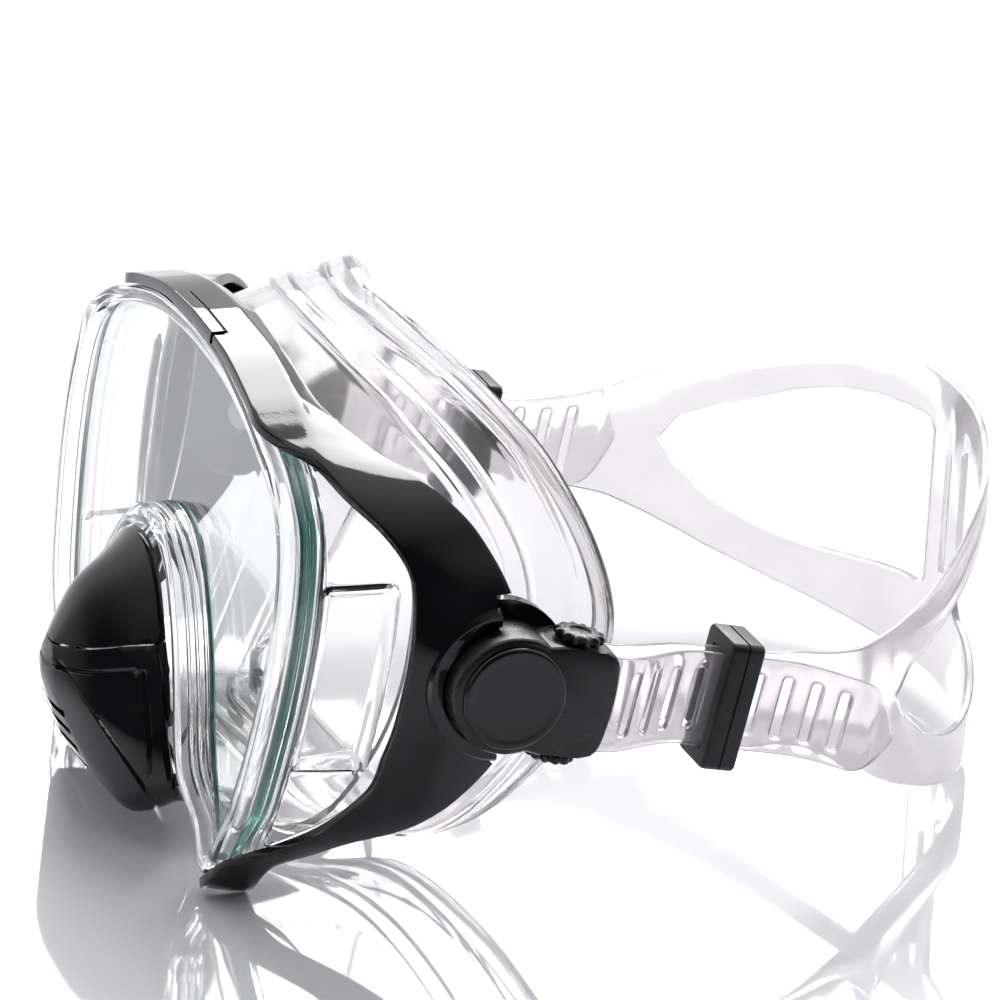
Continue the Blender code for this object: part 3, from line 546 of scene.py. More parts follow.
# Half of the frame's run, from the top centre to the foot: outline x and z, then the depths of its
# front and rear edges.
FRAME_HALF = (
    (0.0, 96.0, -1.2, 12.5), (20.0, 94.9, -1.2, 12.0), (36.0, 91.6, -1.2, 13.8), (44.0, 89.2, -1.2, 17.0),
    (49.5, 87.3, 1.6, 20.0), (55.8, 85.0, 7.4, 24.0), (62.8, 80.5, 12.0, 29.5), (67.9, 74.6, 18.5, 36.0),
    (70.5, 68.5, 23.0, 40.5), (71.5, 62.0, 24.0, 44.0), (71.8, 54.0, 24.2, 46.0), (71.2, 47.0, 24.2, 46.5),
    (70.3, 40.0, 24.0, 46.0), (68.8, 33.5, 23.4, 44.6), (66.7, 26.0, 22.6, 38.5), (64.2, 18.4, 18.0, 29.5),
    (61.2, 12.2, 9.5, 20.5), (58.5, 7.4, 1.8, 12.5), (55.6, 3.2, -1.2, 9.2), (51.8, 0.3, -1.2, 8.0),
)


def flare(x, z, depth):
    """How far the side walls stand out from the rim's outline at a depth."""
    sides = ease(abs(x), 8.0, 58.0) * (1.0 - ease(z, 62.0, 86.0))
    return sides * (0.26 * depth - 0.0043 * depth * depth)


def arm_bulge(z, depth):
    """The frame's arms bulge outwards round the buckles' hubs."""
    return ARM_BULGE * ease(depth, 18.0, 33.0) * (1.0 - ease(z, 54.0, 74.0)) * ease(z, 8.0, 26.0)


def frame_droop(station, depth):
    """The top of the frame slopes down towards its rear edge."""
    x, _, front, rear = station
    start = max(RIM_REAR + 1.2, front + 2.0)
    most = FRAME_DROOP + CORNER_DROOP * ease(abs(x), 16.0, 44.0)
    return most * max(depth - start, 0.0) / (rear - start) * (1.0 - ease(abs(x), 52.0, 66.0))


def half_normals(stations):
    """Unit vectors away from the inside, for a half outline that starts at the top centre."""
    found = []
    for i in range(len(stations)):
        ax, az = stations[i - 1][:2] if i else (-stations[1][0], stations[1][1])
        bx, bz = stations[min(i + 1, len(stations) - 1)][:2]
        length = math.hypot(bx - ax, bz - az)
        found.append((-(bz - az) / length, (bx - ax) / length))
    return found


def body_point(station, normal, depth, offset):
    """A point of the frame or a window: at a depth, and so far out from the side walls' surface."""
    x, z = station[:2]
    out = flare(x, z, max(depth, 0.0)) + arm_bulge(z, depth) + offset
    return on_lens(x + normal[0] * out, z + normal[1] * out, depth)


def section(front, rear, inner, outer, r, spans):
    """A rounded rectangle: depth between front and rear, offset between inner and outer."""
    points = []
    corners = ((front, outer, 180), (rear, outer, 90), (rear, inner, 0), (front, inner, 270))
    for depth, offset, turn in corners:
        cd = depth + r if depth == front else depth - r
        co = offset + r if offset == inner else offset - r
        for k in range(4):
            a = math.radians(turn - 30 * k)
            points.append((cd + r * math.cos(a), co + r * math.sin(a)))
    first, second = points[3], points[4]
    third, fourth = points[11], points[12]
    run_out = [
        (first[0] + (second[0] - first[0]) * i / spans, outer) for i in range(1, spans)
    ]
    run_in = [
        (third[0] + (fourth[0] - third[0]) * i / spans, inner) for i in range(1, spans)
    ]
    return points[:4] + run_out + points[4:12] + run_in + points[12:]


def frame_rings(stations, front_of, rear_of, inner, outer, r, spans):
    """Closed sections along the frame's run, with the feet kept flat on the sole."""
    normals = half_normals(stations)
    sole = (CAD_BOX[0][2] - ORIGIN.z) / MM
    half = []
    for s, n in zip(stations, normals):
        shape = section(front_of(s), rear_of(s), inner, outer, r, spans)
        ring = [body_point(s, n, depth, offset - frame_droop(s, depth)) for depth, offset in shape]
        half.append([Vector((p.x, p.y, max(p.z, sole))) for p in ring])
    other = [[Vector((-p.x, p.y, p.z)) for p in ring] for ring in reversed(half[1:])]
    return other + half


def make_frame():
    stations = spline(FRAME_HALF, FRAME_STATIONS)
    outer = FRAME_GAP + FRAME_THICK
    rings = frame_rings(stations, lambda s: s[2], lambda s: s[3], FRAME_GAP, outer, FRAME_EDGE, 24)
    shell = piece("frame_shell", loft(rings, cap=True), [GLOSS], "mask", ["frame"], "gloss_black")
    clip_top = lens_y(LENS_TOP_Z) + CLIP_DEPTH / 2 - 0.5
    place = Matrix.Translation((0, clip_top, 97.5))
    combine(shell, tool_box("clip_notch", (2 * CLIP_HALF + 0.8, CLIP_DEPTH + 1.0, 8.0), place))
    for side in (1, -1):
        middle = side * (LUG_IN + COLLAR_OUT) / 2
        place = Matrix.Translation((middle, PIVOT_Y, PIVOT_Z)) @ ALONG_X
        combine(shell, tool_cylinder("lug", LUG_R, COLLAR_OUT - LUG_IN, place, chamfer=0.6), "UNION")
        reach = CLEAR_REACH / 2
        place = Matrix.Translation((side * (LUG_OUT + reach), PIVOT_Y - CLEAR_AHEAD + reach, PIVOT_Z))
        combine(shell, tool_box("swing_room", (CLEAR_REACH, CLEAR_REACH, 2 * CLEAR_HALF), place))
        place = Matrix.Translation((side * (LUG_OUT + 10.0), PIVOT_Y, PIVOT_Z)) @ ALONG_X
        combine(shell, tool_cylinder("recess", HUB_R + 2 * CLEARANCE, 20.0, place))
        place = Matrix.Translation((side * LUG_IN, PIVOT_Y, PIVOT_Z)) @ ALONG_X
        combine(shell, tool_cylinder("post_hole", POST_R + CLEARANCE, 20.0, place, 48))
    return settle(shell)


def make_clip():
    stations = [s for s in spline(FRAME_HALF, FRAME_STATIONS) if s[0] <= CLIP_HALF - 0.3]
    stations[-1] = [CLIP_HALF, *stations[-1][1:]]
    rear = CLIP_DEPTH - 1.7
    rings = frame_rings(stations, lambda s: CLIP_FRONT, lambda s: rear, FRAME_GAP, CLIP_OUT, 0.3, 4)
    return piece("frame_tab", loft(rings, cap=True), [GLOSS], "mask", ["frame_clip"], "gloss_black")


def pocket_depth(z, depth):
    """How deep the window's pocket is, with drafted walls all round."""
    across = 1.0 - ease(abs(z - POCKET_MIDDLE_Z), POCKET_HALF, POCKET_HALF + POCKET_DRAFT)
    along = ease(depth, POCKET_FRONT, POCKET_FRONT + 1.4)
    along *= 1.0 - ease(depth, POCKET_REAR, POCKET_REAR + POCKET_DRAFT)
    return POCKET_DEPTH * min(across, along) if min(across, along) < 0.5 else POCKET_DEPTH * across * along


def make_windows():
    stations = [s for s in spline(FRAME_HALF, 190) if s[2] > WINDOW_START_DEPTH]
    normals = half_normals([(-1.0, 97.0)] + stations)[1:]
    rows = []
    for step in range(WINDOW_STEPS):
        row = []
        for s, n in zip(stations, normals):
            rear = max(s[2] + WINDOW_LAP, WINDOW_FRONT + 1.2)
            depth = WINDOW_FRONT + (rear - WINDOW_FRONT) * step / (WINDOW_STEPS - 1)
            row.append(body_point(s, n, depth, -pocket_depth(s[1], depth)))
        rows.append(row)
    bm = loft(rows, wrap_points=False)
    bmesh.ops.recalc_face_normals(bm, faces=bm.faces)
    window = piece("window_left", bm, [PLASTIC], "mask", ["side_window_left"], "clear_polycarbonate")
    face_outward(window, Vector((0.0, 20.0, 48.0)))
    solidify(window, WINDOW_THICK, -1.0)
    bevel(window, 0.25, 2, 60.0)
    settle(window, 40.0)
    mirrored_piece(window, "window_right", "mask", "side_window_right")


def face_outward(obj, middle):
    """Turns the faces of an open shell away from its middle."""
    middle = ORIGIN + middle * MM
    votes = sum((p.center - middle).dot(p.normal) * p.area for p in obj.data.polygons)
    if votes < 0:
        obj.data.flip_normals()


# ---------------------------------------------------------------- skirt
SKIRT_SEAT = (
    (0, 13, 92.5), (22, 12.5, 91), (42, 15, 85.3), (57.5, 21, 77.5), (67.5, 26, 66), (70.2, 25.5, 50),
    (68.6, 22, 34), (63.6, 15.5, 19), (54.5, 8, 8), (38, 2.4, 6.6), (19, 0.6, 8), (0, 0.2, 9),
)
SKIRT_WALL = (
    (0, 22, 96), (22, 23, 94.5), (42.5, 28, 88.3), (59, 35, 79), (68.5, 41, 67.2), (70.4, 42, 50),
    (69.2, 38, 33), (64.6, 30, 17), (55.5, 19, 6.2), (39, 12, 4.6), (19, 8, 7.2), (0, 6, 8.8),
)
SKIRT_RIDGE = (
    (0, 31, 99.5), (21, 33, 98), (41, 39, 91.5), (56, 47, 81), (65.5, 54, 67), (67.5, 57, 50),
    (66.5, 53, 33), (62.5, 44, 17.5), (54.5, 32, 6), (40, 24, 2.0), (20, 17, 7.5), (0, 14, 10),
)
SKIRT_EDGE = (
    (0, 39.7, 102.8), (20, 42, 101.5), (38, 50, 94), (54, 58, 84.5), (65, 65.5, 68), (68.5, 68.5, 51),
    (67, 64, 34), (62, 56, 19), (54, 45.5, 5.6), (41, 35.5, -0.5), (20, 27, 7.4), (0, 22, 12),
)
SKIRT_LIP = (
    (0, 40.5, 95.5), (19, 43, 94), (36, 50.5, 87), (50, 58, 78.5), (59.5, 65, 65), (62.5, 67.5, 51),
    (61, 63, 36), (56, 55, 23), (48.5, 45, 13), (37, 36, 9), (19, 28, 14.5), (0, 23, 18.5),
)
SKIRT_POINTS = 220
SKIRT_ROWS = 84


def skirt_ring(half):
    left = [(-x, y, z) for x, y, z in reversed(half[1:-1])]
    xz_first = [(x, z, y) for x, y, z in list(half) + left]
    return [(x, y, z) for x, z, y in spline(xz_first, SKIRT_POINTS, closed=True)]


def skirt_relief(share):
    """How far the skirt's outside stands proud, from its seat (0) to its lip (1)."""
    step = ease(share, 0.36, 0.40) * (1.0 - ease(share, 0.50, 0.54))
    bead = ease(share, 0.66, 0.69) * (1.0 - ease(share, 0.72, 0.75))
    return 0.9 * step + 0.6 * bead - 0.95


def make_skirt():
    control = [skirt_ring(h) for h in (SKIRT_SEAT, SKIRT_WALL, SKIRT_RIDGE, SKIRT_EDGE, SKIRT_LIP)]
    columns = [spline([ring[i] for ring in control], SKIRT_ROWS) for i in range(SKIRT_POINTS)]
    rings = [[Vector(p) for p in ring] for ring in zip(*columns)]
    raised = []
    for k, ring in enumerate(rings):
        relief = skirt_relief(k / (SKIRT_ROWS - 1))
        row = []
        for i, p in enumerate(ring):
            ahead = rings[min(k + 1, SKIRT_ROWS - 1)][i] - rings[max(k - 1, 0)][i]
            across = ring[(i + 1) % SKIRT_POINTS] - ring[i - 1]
            row.append(p - ahead.cross(across).normalized() * relief)
        raised.append(row)
    bm = loft(raised)
    skirt = piece("face_skirt", bm, [SKIRT_LOOK], "mask", ["skirt"], "clear_silicone", 45.0)
    face_outward(skirt, Vector((0.0, 20.0, 48.0)))
    solidify(skirt, SKIRT_THICK, -1.0)
    bevel(skirt, 0.6, 3, 60.0)
    return settle(skirt, 60.0)


# ---------------------------------------------------------------- nose piece
NOSE_BASE = (
    (0, -6.9, 52.2), (7, -7.0, 50.9), (13.6, -7.5, 46.6), (21.6, -8.7, 38.2), (28.4, -9.6, 28.8),
    (31.9, -10.8, 21.2), (35.2, -9.6, 11), (29, -5.2, 6), (15, -2.8, 5.4), (0, -2.0, 6),
)
NOSE_MIDDLE = (
    (0, -13.2, 48.3), (5.8, -13.3, 46.9), (11, -13.8, 43), (17, -15, 35.8), (22.8, -16, 27),
    (27, -17, 18.5), (27.4, -17, 5.2), (21, -15.5, 3.2), (10, -15.5, 3), (0, -15.5, 3),
)
NOSE_FRONT = (
    (0, -20.6, 42.2), (3.8, -20.7, 41.2), (7, -21, 38.4), (11, -21.8, 32.6), (14.5, -22.3, 26.4),
    (17, -22.6, 20), (17.5, -21.6, 9.5), (12, -21.6, 7.8), (6, -21.8, 7.4), (0, -22, 7.2),
)
NOSE_TIP = (
    (0, -26.3, 31.6), (1.7, -26.4, 31.2), (3, -26.6, 30), (4.1, -26.9, 28), (4.8, -27.1, 25.8),
    (5, -27.1, 23.6), (4.4, -26.9, 21), (3, -26.8, 20), (1.5, -26.8, 19.5), (0, -26.8, 19.3),
)
NOSE_TIP_Y = -28.0
NOSE_THICK = 1.8
NOSE_LIP = 1.6
SLOT_COUNT = 4
INSIDE_NOSE = Vector((0.0, -6.0, 25.0))
SEAM_Z = 38.2
SEAM_RISE = math.radians(21)


def whole_ring(half):
    return list(half) + [(-x, y, z) for x, y, z in reversed(half[1:-1])]


def dense_ring(half, count):
    xz_first = [(x, z, y) for x, y, z in whole_ring(half)]
    return [(x, y, z) for x, z, y in spline(xz_first, count, closed=True)]


def nose_surface():
    base = NOSE_BASE
    shoulder = [(0.99 * x, y - NOSE_LIP, z) for x, y, z in base]
    rings = [dense_ring(h, 120) for h in (base, shoulder, NOSE_MIDDLE, NOSE_FRONT, NOSE_TIP)]
    columns = []
    for column in zip(*rings):
        yz_first = [(y, z, x) for x, y, z in column[1:]]
        columns.append([column[0]] + [(x, y, z) for y, z, x in spline(yz_first, 34)])
    rows = [list(row) for row in zip(*columns)]
    bm = loft(rows)
    bm.verts.ensure_lookup_table()
    last = bm.verts[-len(rows[0]):]
    tip = bm.verts.new((0.0, NOSE_TIP_Y, 25.0))
    for a, b in zip(last, last[1:] + last[:1]):
        bm.faces.new((a, b, tip))
    return bm


def groove(bm, point, normal, width, depth, where):
    """A V groove where a plane meets the surface, kept to the places that the mask function allows."""
    normal = Vector(normal).normalized()
    for shift in (-width / 2, 0.0, width / 2):
        bmesh.ops.bisect_plane(
            bm, geom=bm.verts[:] + bm.edges[:] + bm.faces[:], dist=1e-5,
            plane_co=Vector(point) + normal * shift, plane_no=normal,
        )
    bm.normal_update()
    moves = []
    for v in bm.verts:
        off = abs((v.co - Vector(point)).dot(normal)) / (width / 2)
        if off < 0.999:
            inward = -v.normal if v.normal.dot(v.co - INSIDE_NOSE) > 0 else v.normal
            moves.append((v, inward * depth * (1.0 - off) * where(v.co)))
    for v, move in moves:
        v.co += move


def cut_nose_grooves(bm, fall):
    """The lines of the lower piece: a seam under the first, two uprights and a slant to the slots."""
    groove(bm, (0, -8, 34.2), fall, 0.9, 0.55, lambda p: 1.0 - ease(p.y, -15.2, -13.8))
    upright = (0.0, 1.0, -0.06)
    groove(bm, (0, -14.2, 20), upright, 0.9, 0.5, lambda p: ease(p.z, 12.0, 13.5) - ease(p.z, 31.5, 32.5))
    groove(bm, (0, -10.6, 20), (0.0, 1.0, 0.02), 0.8, 0.45, lambda p: ease(p.z, 9.0, 11.0))
    groove(bm, (0, -23.4, 24.0), (0.0, 0.86, 0.51), 0.9, 0.55, lambda p: 1.0 - ease(p.z, 27.0, 29.0))


def cut_slots(half):
    """The purge slots, wider and further back towards the bottom."""
    for i in range(SLOT_COUNT):
        along = i / (SLOT_COUNT - 1)
        place = Matrix.Translation((0, -26.2 + 5.2 * along, 17.6 - 9.6 * along))
        turn = Matrix.Rotation(math.radians(25), 4, "X")
        size = (17.0 + 7.0 * along, 9.0, 1.6)
        combine(half, tool_box("slot", size, place @ turn, rounding=0.7))


def make_nose():
    fall = (0.0, -math.sin(SEAM_RISE), math.cos(SEAM_RISE))
    for name, node, slot, above in (
        ("nose_upper", "nose_cover", "gloss_black", True),
        ("nose_lower", "purge_housing", "satin_black", False),
    ):
        bm = nose_surface()
        if not above:
            cut_nose_grooves(bm, fall)
        seam = Vector((0, -8, SEAM_Z)) + Vector(fall) * (0.15 if above else -0.15)
        bmesh.ops.bisect_plane(
            bm, geom=bm.verts[:] + bm.edges[:] + bm.faces[:], dist=1e-5, plane_co=seam, plane_no=fall,
            clear_inner=above, clear_outer=not above,
        )
        half = piece(name, bm, [GLOSS], "mask", [node], slot, 30.0)
        face_outward(half, INSIDE_NOSE)
        solidify(half, NOSE_THICK, -1.0)
        bevel(half, 0.25, 2, 60.0)
        if not above:
            cut_slots(half)
        settle(half, 28.0)


# ---------------------------------------------------------------- buckles
def buckle_outline():
    """The buckle seen from the side: the round hub, then the block with its bowed rear end."""
    corner = math.asin((BLOCK_HALF - 0.6) / HUB_R)
    arc = [corner + (2 * math.pi - 2 * corner) * i / 64 for i in range(65)]
    points = [(HUB_R * math.cos(a), HUB_R * math.sin(a)) for a in arc]
    rear_control = [
        (BLOCK_END - 1.4, -BLOCK_HALF + 1.0), (BLOCK_END, -BLOCK_HALF + 3.4), (BLOCK_END + 0.7, 0.0),
        (BLOCK_END, BLOCK_HALF - 3.4), (BLOCK_END - 1.4, BLOCK_HALF - 1.0),
    ]
    rear = spline(rear_control, 17)
    foot = [(ROLLER_L - 3.4, -BLOCK_HALF), (ROLLER_L + 3.4, -BLOCK_HALF)]
    return points + foot + rear + [(along, -across) for along, across in reversed(foot)]


def make_buckle():
    rings = []
    outline = buckle_outline()
    middle = Vector((ROLLER_L - 5.0, 0.0))
    shoulder = ((HUB_OUT - 1.0, 0.0), (HUB_OUT - 0.6, 0.12), (HUB_OUT - 0.25, 0.38), (HUB_OUT, 0.95))
    for x, shrink in ((HUB_IN, 0.0), *shoulder):
        ring = []
        for along, across in outline:
            p = Vector((along, across))
            p -= (p - middle).normalized() * shrink
            ring.append(in_buckle(x, p.x, p.y))
        rings.append(ring)
    bm = loft(rings, cap=True)
    body = piece("buckle_left", bm, [SATIN], "strap_set", ["buckle_body_left"], "satin_black")
    box_place = LEAN @ Matrix.Translation((HUB_IN, HUB_R + 31.5, 0))
    combine(body, tool_box("relief", (2 * (BLOCK_IN - HUB_IN), 60.0, 60.0), box_place))
    place = LEAN @ Matrix.Translation((ROLLER_X, ROLLER_L - CHANNEL_R + CHANNEL_LONG / 2, 0))
    combine(body, tool_box("channel", (2 * CHANNEL_R, CHANNEL_LONG, 2 * CHANNEL_HALF), place, rounding=1.0))
    place = LEAN @ Matrix.Translation((ROLLER_X, ROLLER_L, 0))
    combine(body, tool_cylinder("bore", JOURNAL_R + CLEARANCE, 60.0, place, 48))
    for side in (1, -1):
        place = LEAN @ Matrix.Translation((ROLLER_X, ROLLER_L, side * (BLOCK_HALF + 1.5)))
        combine(body, tool_cylinder("scoop", KNOB_R + 1.7, 4.0, place, 72))
    place = Matrix.Translation((HUB_IN + 2.0, PIVOT_Y, PIVOT_Z)) @ ALONG_X
    combine(body, tool_cylinder("socket", POST_R + CLEARANCE, 8.0, place, 48))
    place = LEAN @ Matrix.Translation((HUB_IN, ROLLER_L + 2.8, 0))
    combine(body, tool_box("catch_window", (4.0, 9.6, 9.0), place))
    settle(body, 28.0)
    mirrored_piece(body, "buckle_right", "strap_set", "buckle_body_right")


def make_cap():
    """The disc on the hub, with a shallow dished face inside a rounded rim."""
    start = HUB_OUT + CLEARANCE
    shape = (
        (start, CAP_R), (start + 0.45, CAP_R), (start + 0.8, CAP_R - 0.22), (start + 0.98, CAP_R - 0.65),
        (start + 1.0, CAP_R - 1.1), (start + 0.86, CAP_R - 1.6), (start + 0.8, CAP_R - 2.4),
        (start + 0.8, 0.2),
    )
    rings = []
    for x, r in shape:
        turns = [2 * math.pi * i / 120 for i in range(120)]
        rings.append([Vector((x, PIVOT_Y + r * math.cos(a), PIVOT_Z + r * math.sin(a))) for a in turns])
    bm = loft(rings, cap=True)
    cap = piece("cap_left", bm, [GLOSS], "strap_set", ["buckle_cap_left"], "gloss_black", 45.0)
    mirrored_piece(cap, "cap_right", "strap_set", "buckle_cap_right")


def make_roller():
    """The strap's roller, with a toothed knob at each end."""
    inner = CHANNEL_HALF - 0.3
    outer = BLOCK_HALF - 0.5 + 0.3
    half = (
        (inner, BARREL_R, 0), (inner, JOURNAL_R, 0), (outer, JOURNAL_R, 0), (outer, KNOB_R - 0.5, 1),
        (outer + 0.35, KNOB_R, 1), (outer + 1.5, KNOB_R, 1), (outer + 1.9, KNOB_R - 0.5, 1),
        (outer + 2.0, 2.2, 0), (outer + 1.6, 1.9, 0), (outer + 1.6, 0.3, 0),
    )
    stations = [(-a, r, t) for a, r, t in reversed(half)] + list(half)
    rings = []
    for along, radius, toothed in stations:
        ring = []
        for i in range(KNOB_STEPS):
            angle = 2 * math.pi * i / KNOB_STEPS
            wave = math.cos(KNOB_TEETH * angle)
            cut = 0.5 * (1 - wave / max(abs(wave), 1e-6) * abs(wave) ** 0.5) if toothed else 0.0
            r = radius - 0.95 * cut
            ring.append(in_buckle(ROLLER_X + r * math.cos(angle), ROLLER_L + r * math.sin(angle), along))
        rings.append(ring)
    bm = loft(rings, cap=True)
    roller = piece("roller_left", bm, [SATIN], "roller_left", ["strap_roller_left"], "satin_black", 40.0)
    mirrored_piece(roller, "roller_right", "roller_right", "strap_roller_right")


def make_keeper():
    """A rounded rectangular loop with a parting groove round its middle."""
    place = LEAN @ Matrix.Translation((KEEPER_X, KEEPER_L, 0))
    bm = bmesh.new()
    bmesh.ops.create_cube(bm, size=1.0, matrix=Matrix.Diagonal((13.0, 7.0, 26.6, 1.0)))
    edges = [e for e in bm.edges if abs((e.verts[0].co - e.verts[1].co).y) > 1e-6]
    bmesh.ops.bevel(bm, geom=edges, offset=1.7, segments=5, affect="EDGES", profile=0.5)
    bmesh.ops.transform(bm, matrix=place, verts=bm.verts)
    nodes = ["strap_keeper_left"]
    keeper = piece("keeper_left", bm, [KEEPER_LOOK], "keeper_left", nodes, "satin_black", 30.0)
    bevel(keeper, 0.6, 3, 50.0)
    outer = tool_box("ring", (16.0, 0.5, 30.0), place)
    inner = tool_box("ring_core", (12.3, 2.0, 25.9), place, rounding=1.4)
    combine(outer, inner)
    settle(outer)
    combine(keeper, outer)
    slot = (2 * KEEPER_LAYER + STRAP_THICK + 1.0, 20.0, 2 * STRAP_HALF + 0.9)
    combine(keeper, tool_box("keeper_slot", slot, place, rounding=0.6))
    settle(keeper, 30.0)
    mirrored_piece(keeper, "keeper_right", "keeper_right", "strap_keeper_right")


# ---------------------------------------------------------------- strap
LADDER_PITCH = 6.4
SLOT_WIDTH = 2.4
SLOT_HALF = 6.4
# Edges of the strap behind the keepers, against the distance back from the mask:
# y, bottom edge, lower and upper edge of the opening, top edge.
LOOP_EDGES = (
    (97.5, 25.9, 33.6, 36.6, 45.5), (108.0, 24.6, 33.4, 36.4, 44.8), (119.0, 20.6, 32.0, 35.6, 45.4),
    (128.5, 15.4, 31.5, 35.2, 48.3), (133.0, 13.0, 28.0, 38.4, 50.0), (140.0, 9.6, 21.5, 42.2, 52.8),
    (149.0, 6.2, 17.2, 47.4, 57.6), (157.0, 4.2, 16.2, 52.4, 62.0), (163.0, 3.0, 17.4, 55.6, 65.4),
    (167.0, 2.6, 19.4, 57.2, 67.6), (168.6, 2.6, 20.4, 57.8, 68.6), (170.5, 2.6, 21.0, 58.2, 69.0),
)
OPENING_START_Y = 130.0
BAR_HALF_X = 7.5
SLIT_HALF_X = 0.9
BEYOND = 3.0


def loop_edges(y):
    """Bottom edge, opening's edges and top edge at a distance back."""
    rows = LOOP_EDGES
    y = min(max(y, rows[0][0]), rows[-1][0])
    i = 0
    while i < len(rows) - 2 and rows[i + 1][0] < y:
        i += 1
    t = (y - rows[i][0]) / (rows[i + 1][0] - rows[i][0])
    quad = [rows[min(max(i + k, 0), len(rows) - 1)] for k in (-1, 0, 1, 2)]
    return [catmull(*(q[j] for q in quad), t) for j in (1, 2, 3, 4)]


def layer_x(along, side):
    near = ROLLER_X + side * LAYER_OFF
    far = KEEPER_X + side * KEEPER_LAYER
    return near + (far - near) * ease(along, 20.0, KEEPER_L - 7.0)


def strap_path():
    """Stations along the strap's middle, from the tail's tip to just past the rear middle.

    Each holds a point, the direction across the strap, the direction out of its face, and its lower
    and upper edge measured from the point.
    """
    across = LEAN.to_3x3() @ Vector((0, 0, 1))
    found = []
    along = TAIL_END_L
    while along > ROLLER_L + 0.01:
        back = TAIL_END_L - along
        width = STRAP_HALF * (1.0 - 0.9 * max(0.0, 1.0 - back / 8.0) ** 2.2)
        found.append([in_buckle(layer_x(along, 1), along, 0), across, Vector((1, 0, 0)), -width, width])
        along -= 0.5 if back < 9 else 1.0
    for i in range(25):
        angle = math.pi * i / 24
        out = Vector((math.cos(angle), 0, 0)) - (LEAN.to_3x3() @ Vector((0, 1, 0))) * math.sin(angle)
        point = in_buckle(ROLLER_X, ROLLER_L, 0) + out * LAYER_OFF
        found.append([point, across, out, -STRAP_HALF, STRAP_HALF])
    along = ROLLER_L + 1.0
    while along < LOOP_START_L:
        point = in_buckle(layer_x(along, -1), along, 0)
        found.append([point, across, Vector((-1, 0, 0)), -STRAP_HALF, STRAP_HALF])
        along += 1.0
    start = in_buckle(0, LOOP_START_L, 0)
    half_x = KEEPER_X - KEEPER_LAYER
    reach = STRAP_REAR_Y - STRAP_THICK / 2 - start.y
    for i in range(1, 101):
        angle = (math.pi / 2 + BEYOND / half_x) * i / 100
        x, y = half_x * math.cos(angle), start.y + reach * math.sin(angle)
        low, high = loop_edges(y)[0], loop_edges(y)[3]
        share = ease(i, 0, 14)
        middle = start.z + (35.7 - start.z) * share
        lean = across.lerp(Vector((0, 0, 1)), share)
        out = -Vector((math.cos(angle) * reach, math.sin(angle) * half_x, 0)).normalized()
        low = -STRAP_HALF + (low - middle + STRAP_HALF) * share
        high = STRAP_HALF + (high - middle - STRAP_HALF) * share
        found.append([Vector((x, y, middle)), lean, out, low, high])
    return found


def strap_lengths(path):
    lengths = [0.0]
    for a, b in zip(path, path[1:]):
        lengths.append(lengths[-1] + (a[0] - b[0]).length)
    return lengths


def flat_section(low, high, thick, r=0.55):
    """A rounded strip seen end on: (across, out) pairs."""
    points = []
    corners = ((high, thick, 90), (high, -thick, 0), (low, -thick, 270), (low, thick, 180))
    for corner_a, corner_t, turn in corners:
        ca = corner_a - r if corner_a == high else corner_a + r
        ct = corner_t - r if corner_t == thick else corner_t + r
        for k in range(3):
            a = math.radians(turn - 45 * k)
            points.append((ca + r * math.cos(a), ct + r * math.sin(a)))
    return points


def slot_cutter(bm, outline):
    """A cutter through the flat strip, wider at both faces so that it leaves chamfered edges."""
    centre = sum((Vector(p) for p in outline), Vector((0, 0))) / len(outline)
    n = len(outline)
    rings = []
    half = STRAP_THICK / 2
    for depth, grow in ((-half - 0.3, 0.65), (-half + 0.3, 0.0), (half - 0.3, 0.0), (half + 0.3, 0.65)):
        ring = []
        for i, (u, v) in enumerate(outline):
            a, b = Vector(outline[i - 1]), Vector(outline[(i + 1) % n])
            side = Vector(((b - a).y, -(b - a).x)).normalized()
            if side.dot(Vector((u, v)) - centre) < 0:
                side = -side
            ring.append((u + side.x * grow, v + side.y * grow, depth))
        rings.append([bm.verts.new(p) for p in ring])
    for low, high in zip(rings, rings[1:]):
        for i in range(n):
            j = (i + 1) % n
            bm.faces.new((low[i], low[j], high[j], high[i]))
    bm.faces.new(rings[0])
    bm.faces.new(rings[-1])


def rounded_rect(u0, u1, v0, v1, r):
    points = []
    corners = ((u1 - r, v1 - r, 0), (u0 + r, v1 - r, 90), (u0 + r, v0 + r, 180), (u1 - r, v0 + r, 270))
    for cu, cv, turn in corners:
        for k in range(5):
            a = math.radians(turn + 22.5 * k)
            points.append((cu + r * math.cos(a), cv + r * math.sin(a)))
    return points


def ladder_slots():
    """The slots' outlines on the flat strip: those of the tail, then those of the layer inside it."""
    found = []
    tail_reach = TAIL_END_L - ROLLER_L
    back = 10.6
    while back < tail_reach - 8.0:
        found.append(rounded_rect(back, back + SLOT_WIDTH, -SLOT_HALF, SLOT_HALF, 0.9))
        back += LADDER_PITCH
    start = tail_reach + math.pi * LAYER_OFF
    along = 9.0
    while along < LOOP_START_L - ROLLER_L - 6.0:
        u = start + along
        found.append(rounded_rect(u, u + SLOT_WIDTH, -SLOT_HALF, SLOT_HALF, 0.9))
        along += LADDER_PITCH
    return found


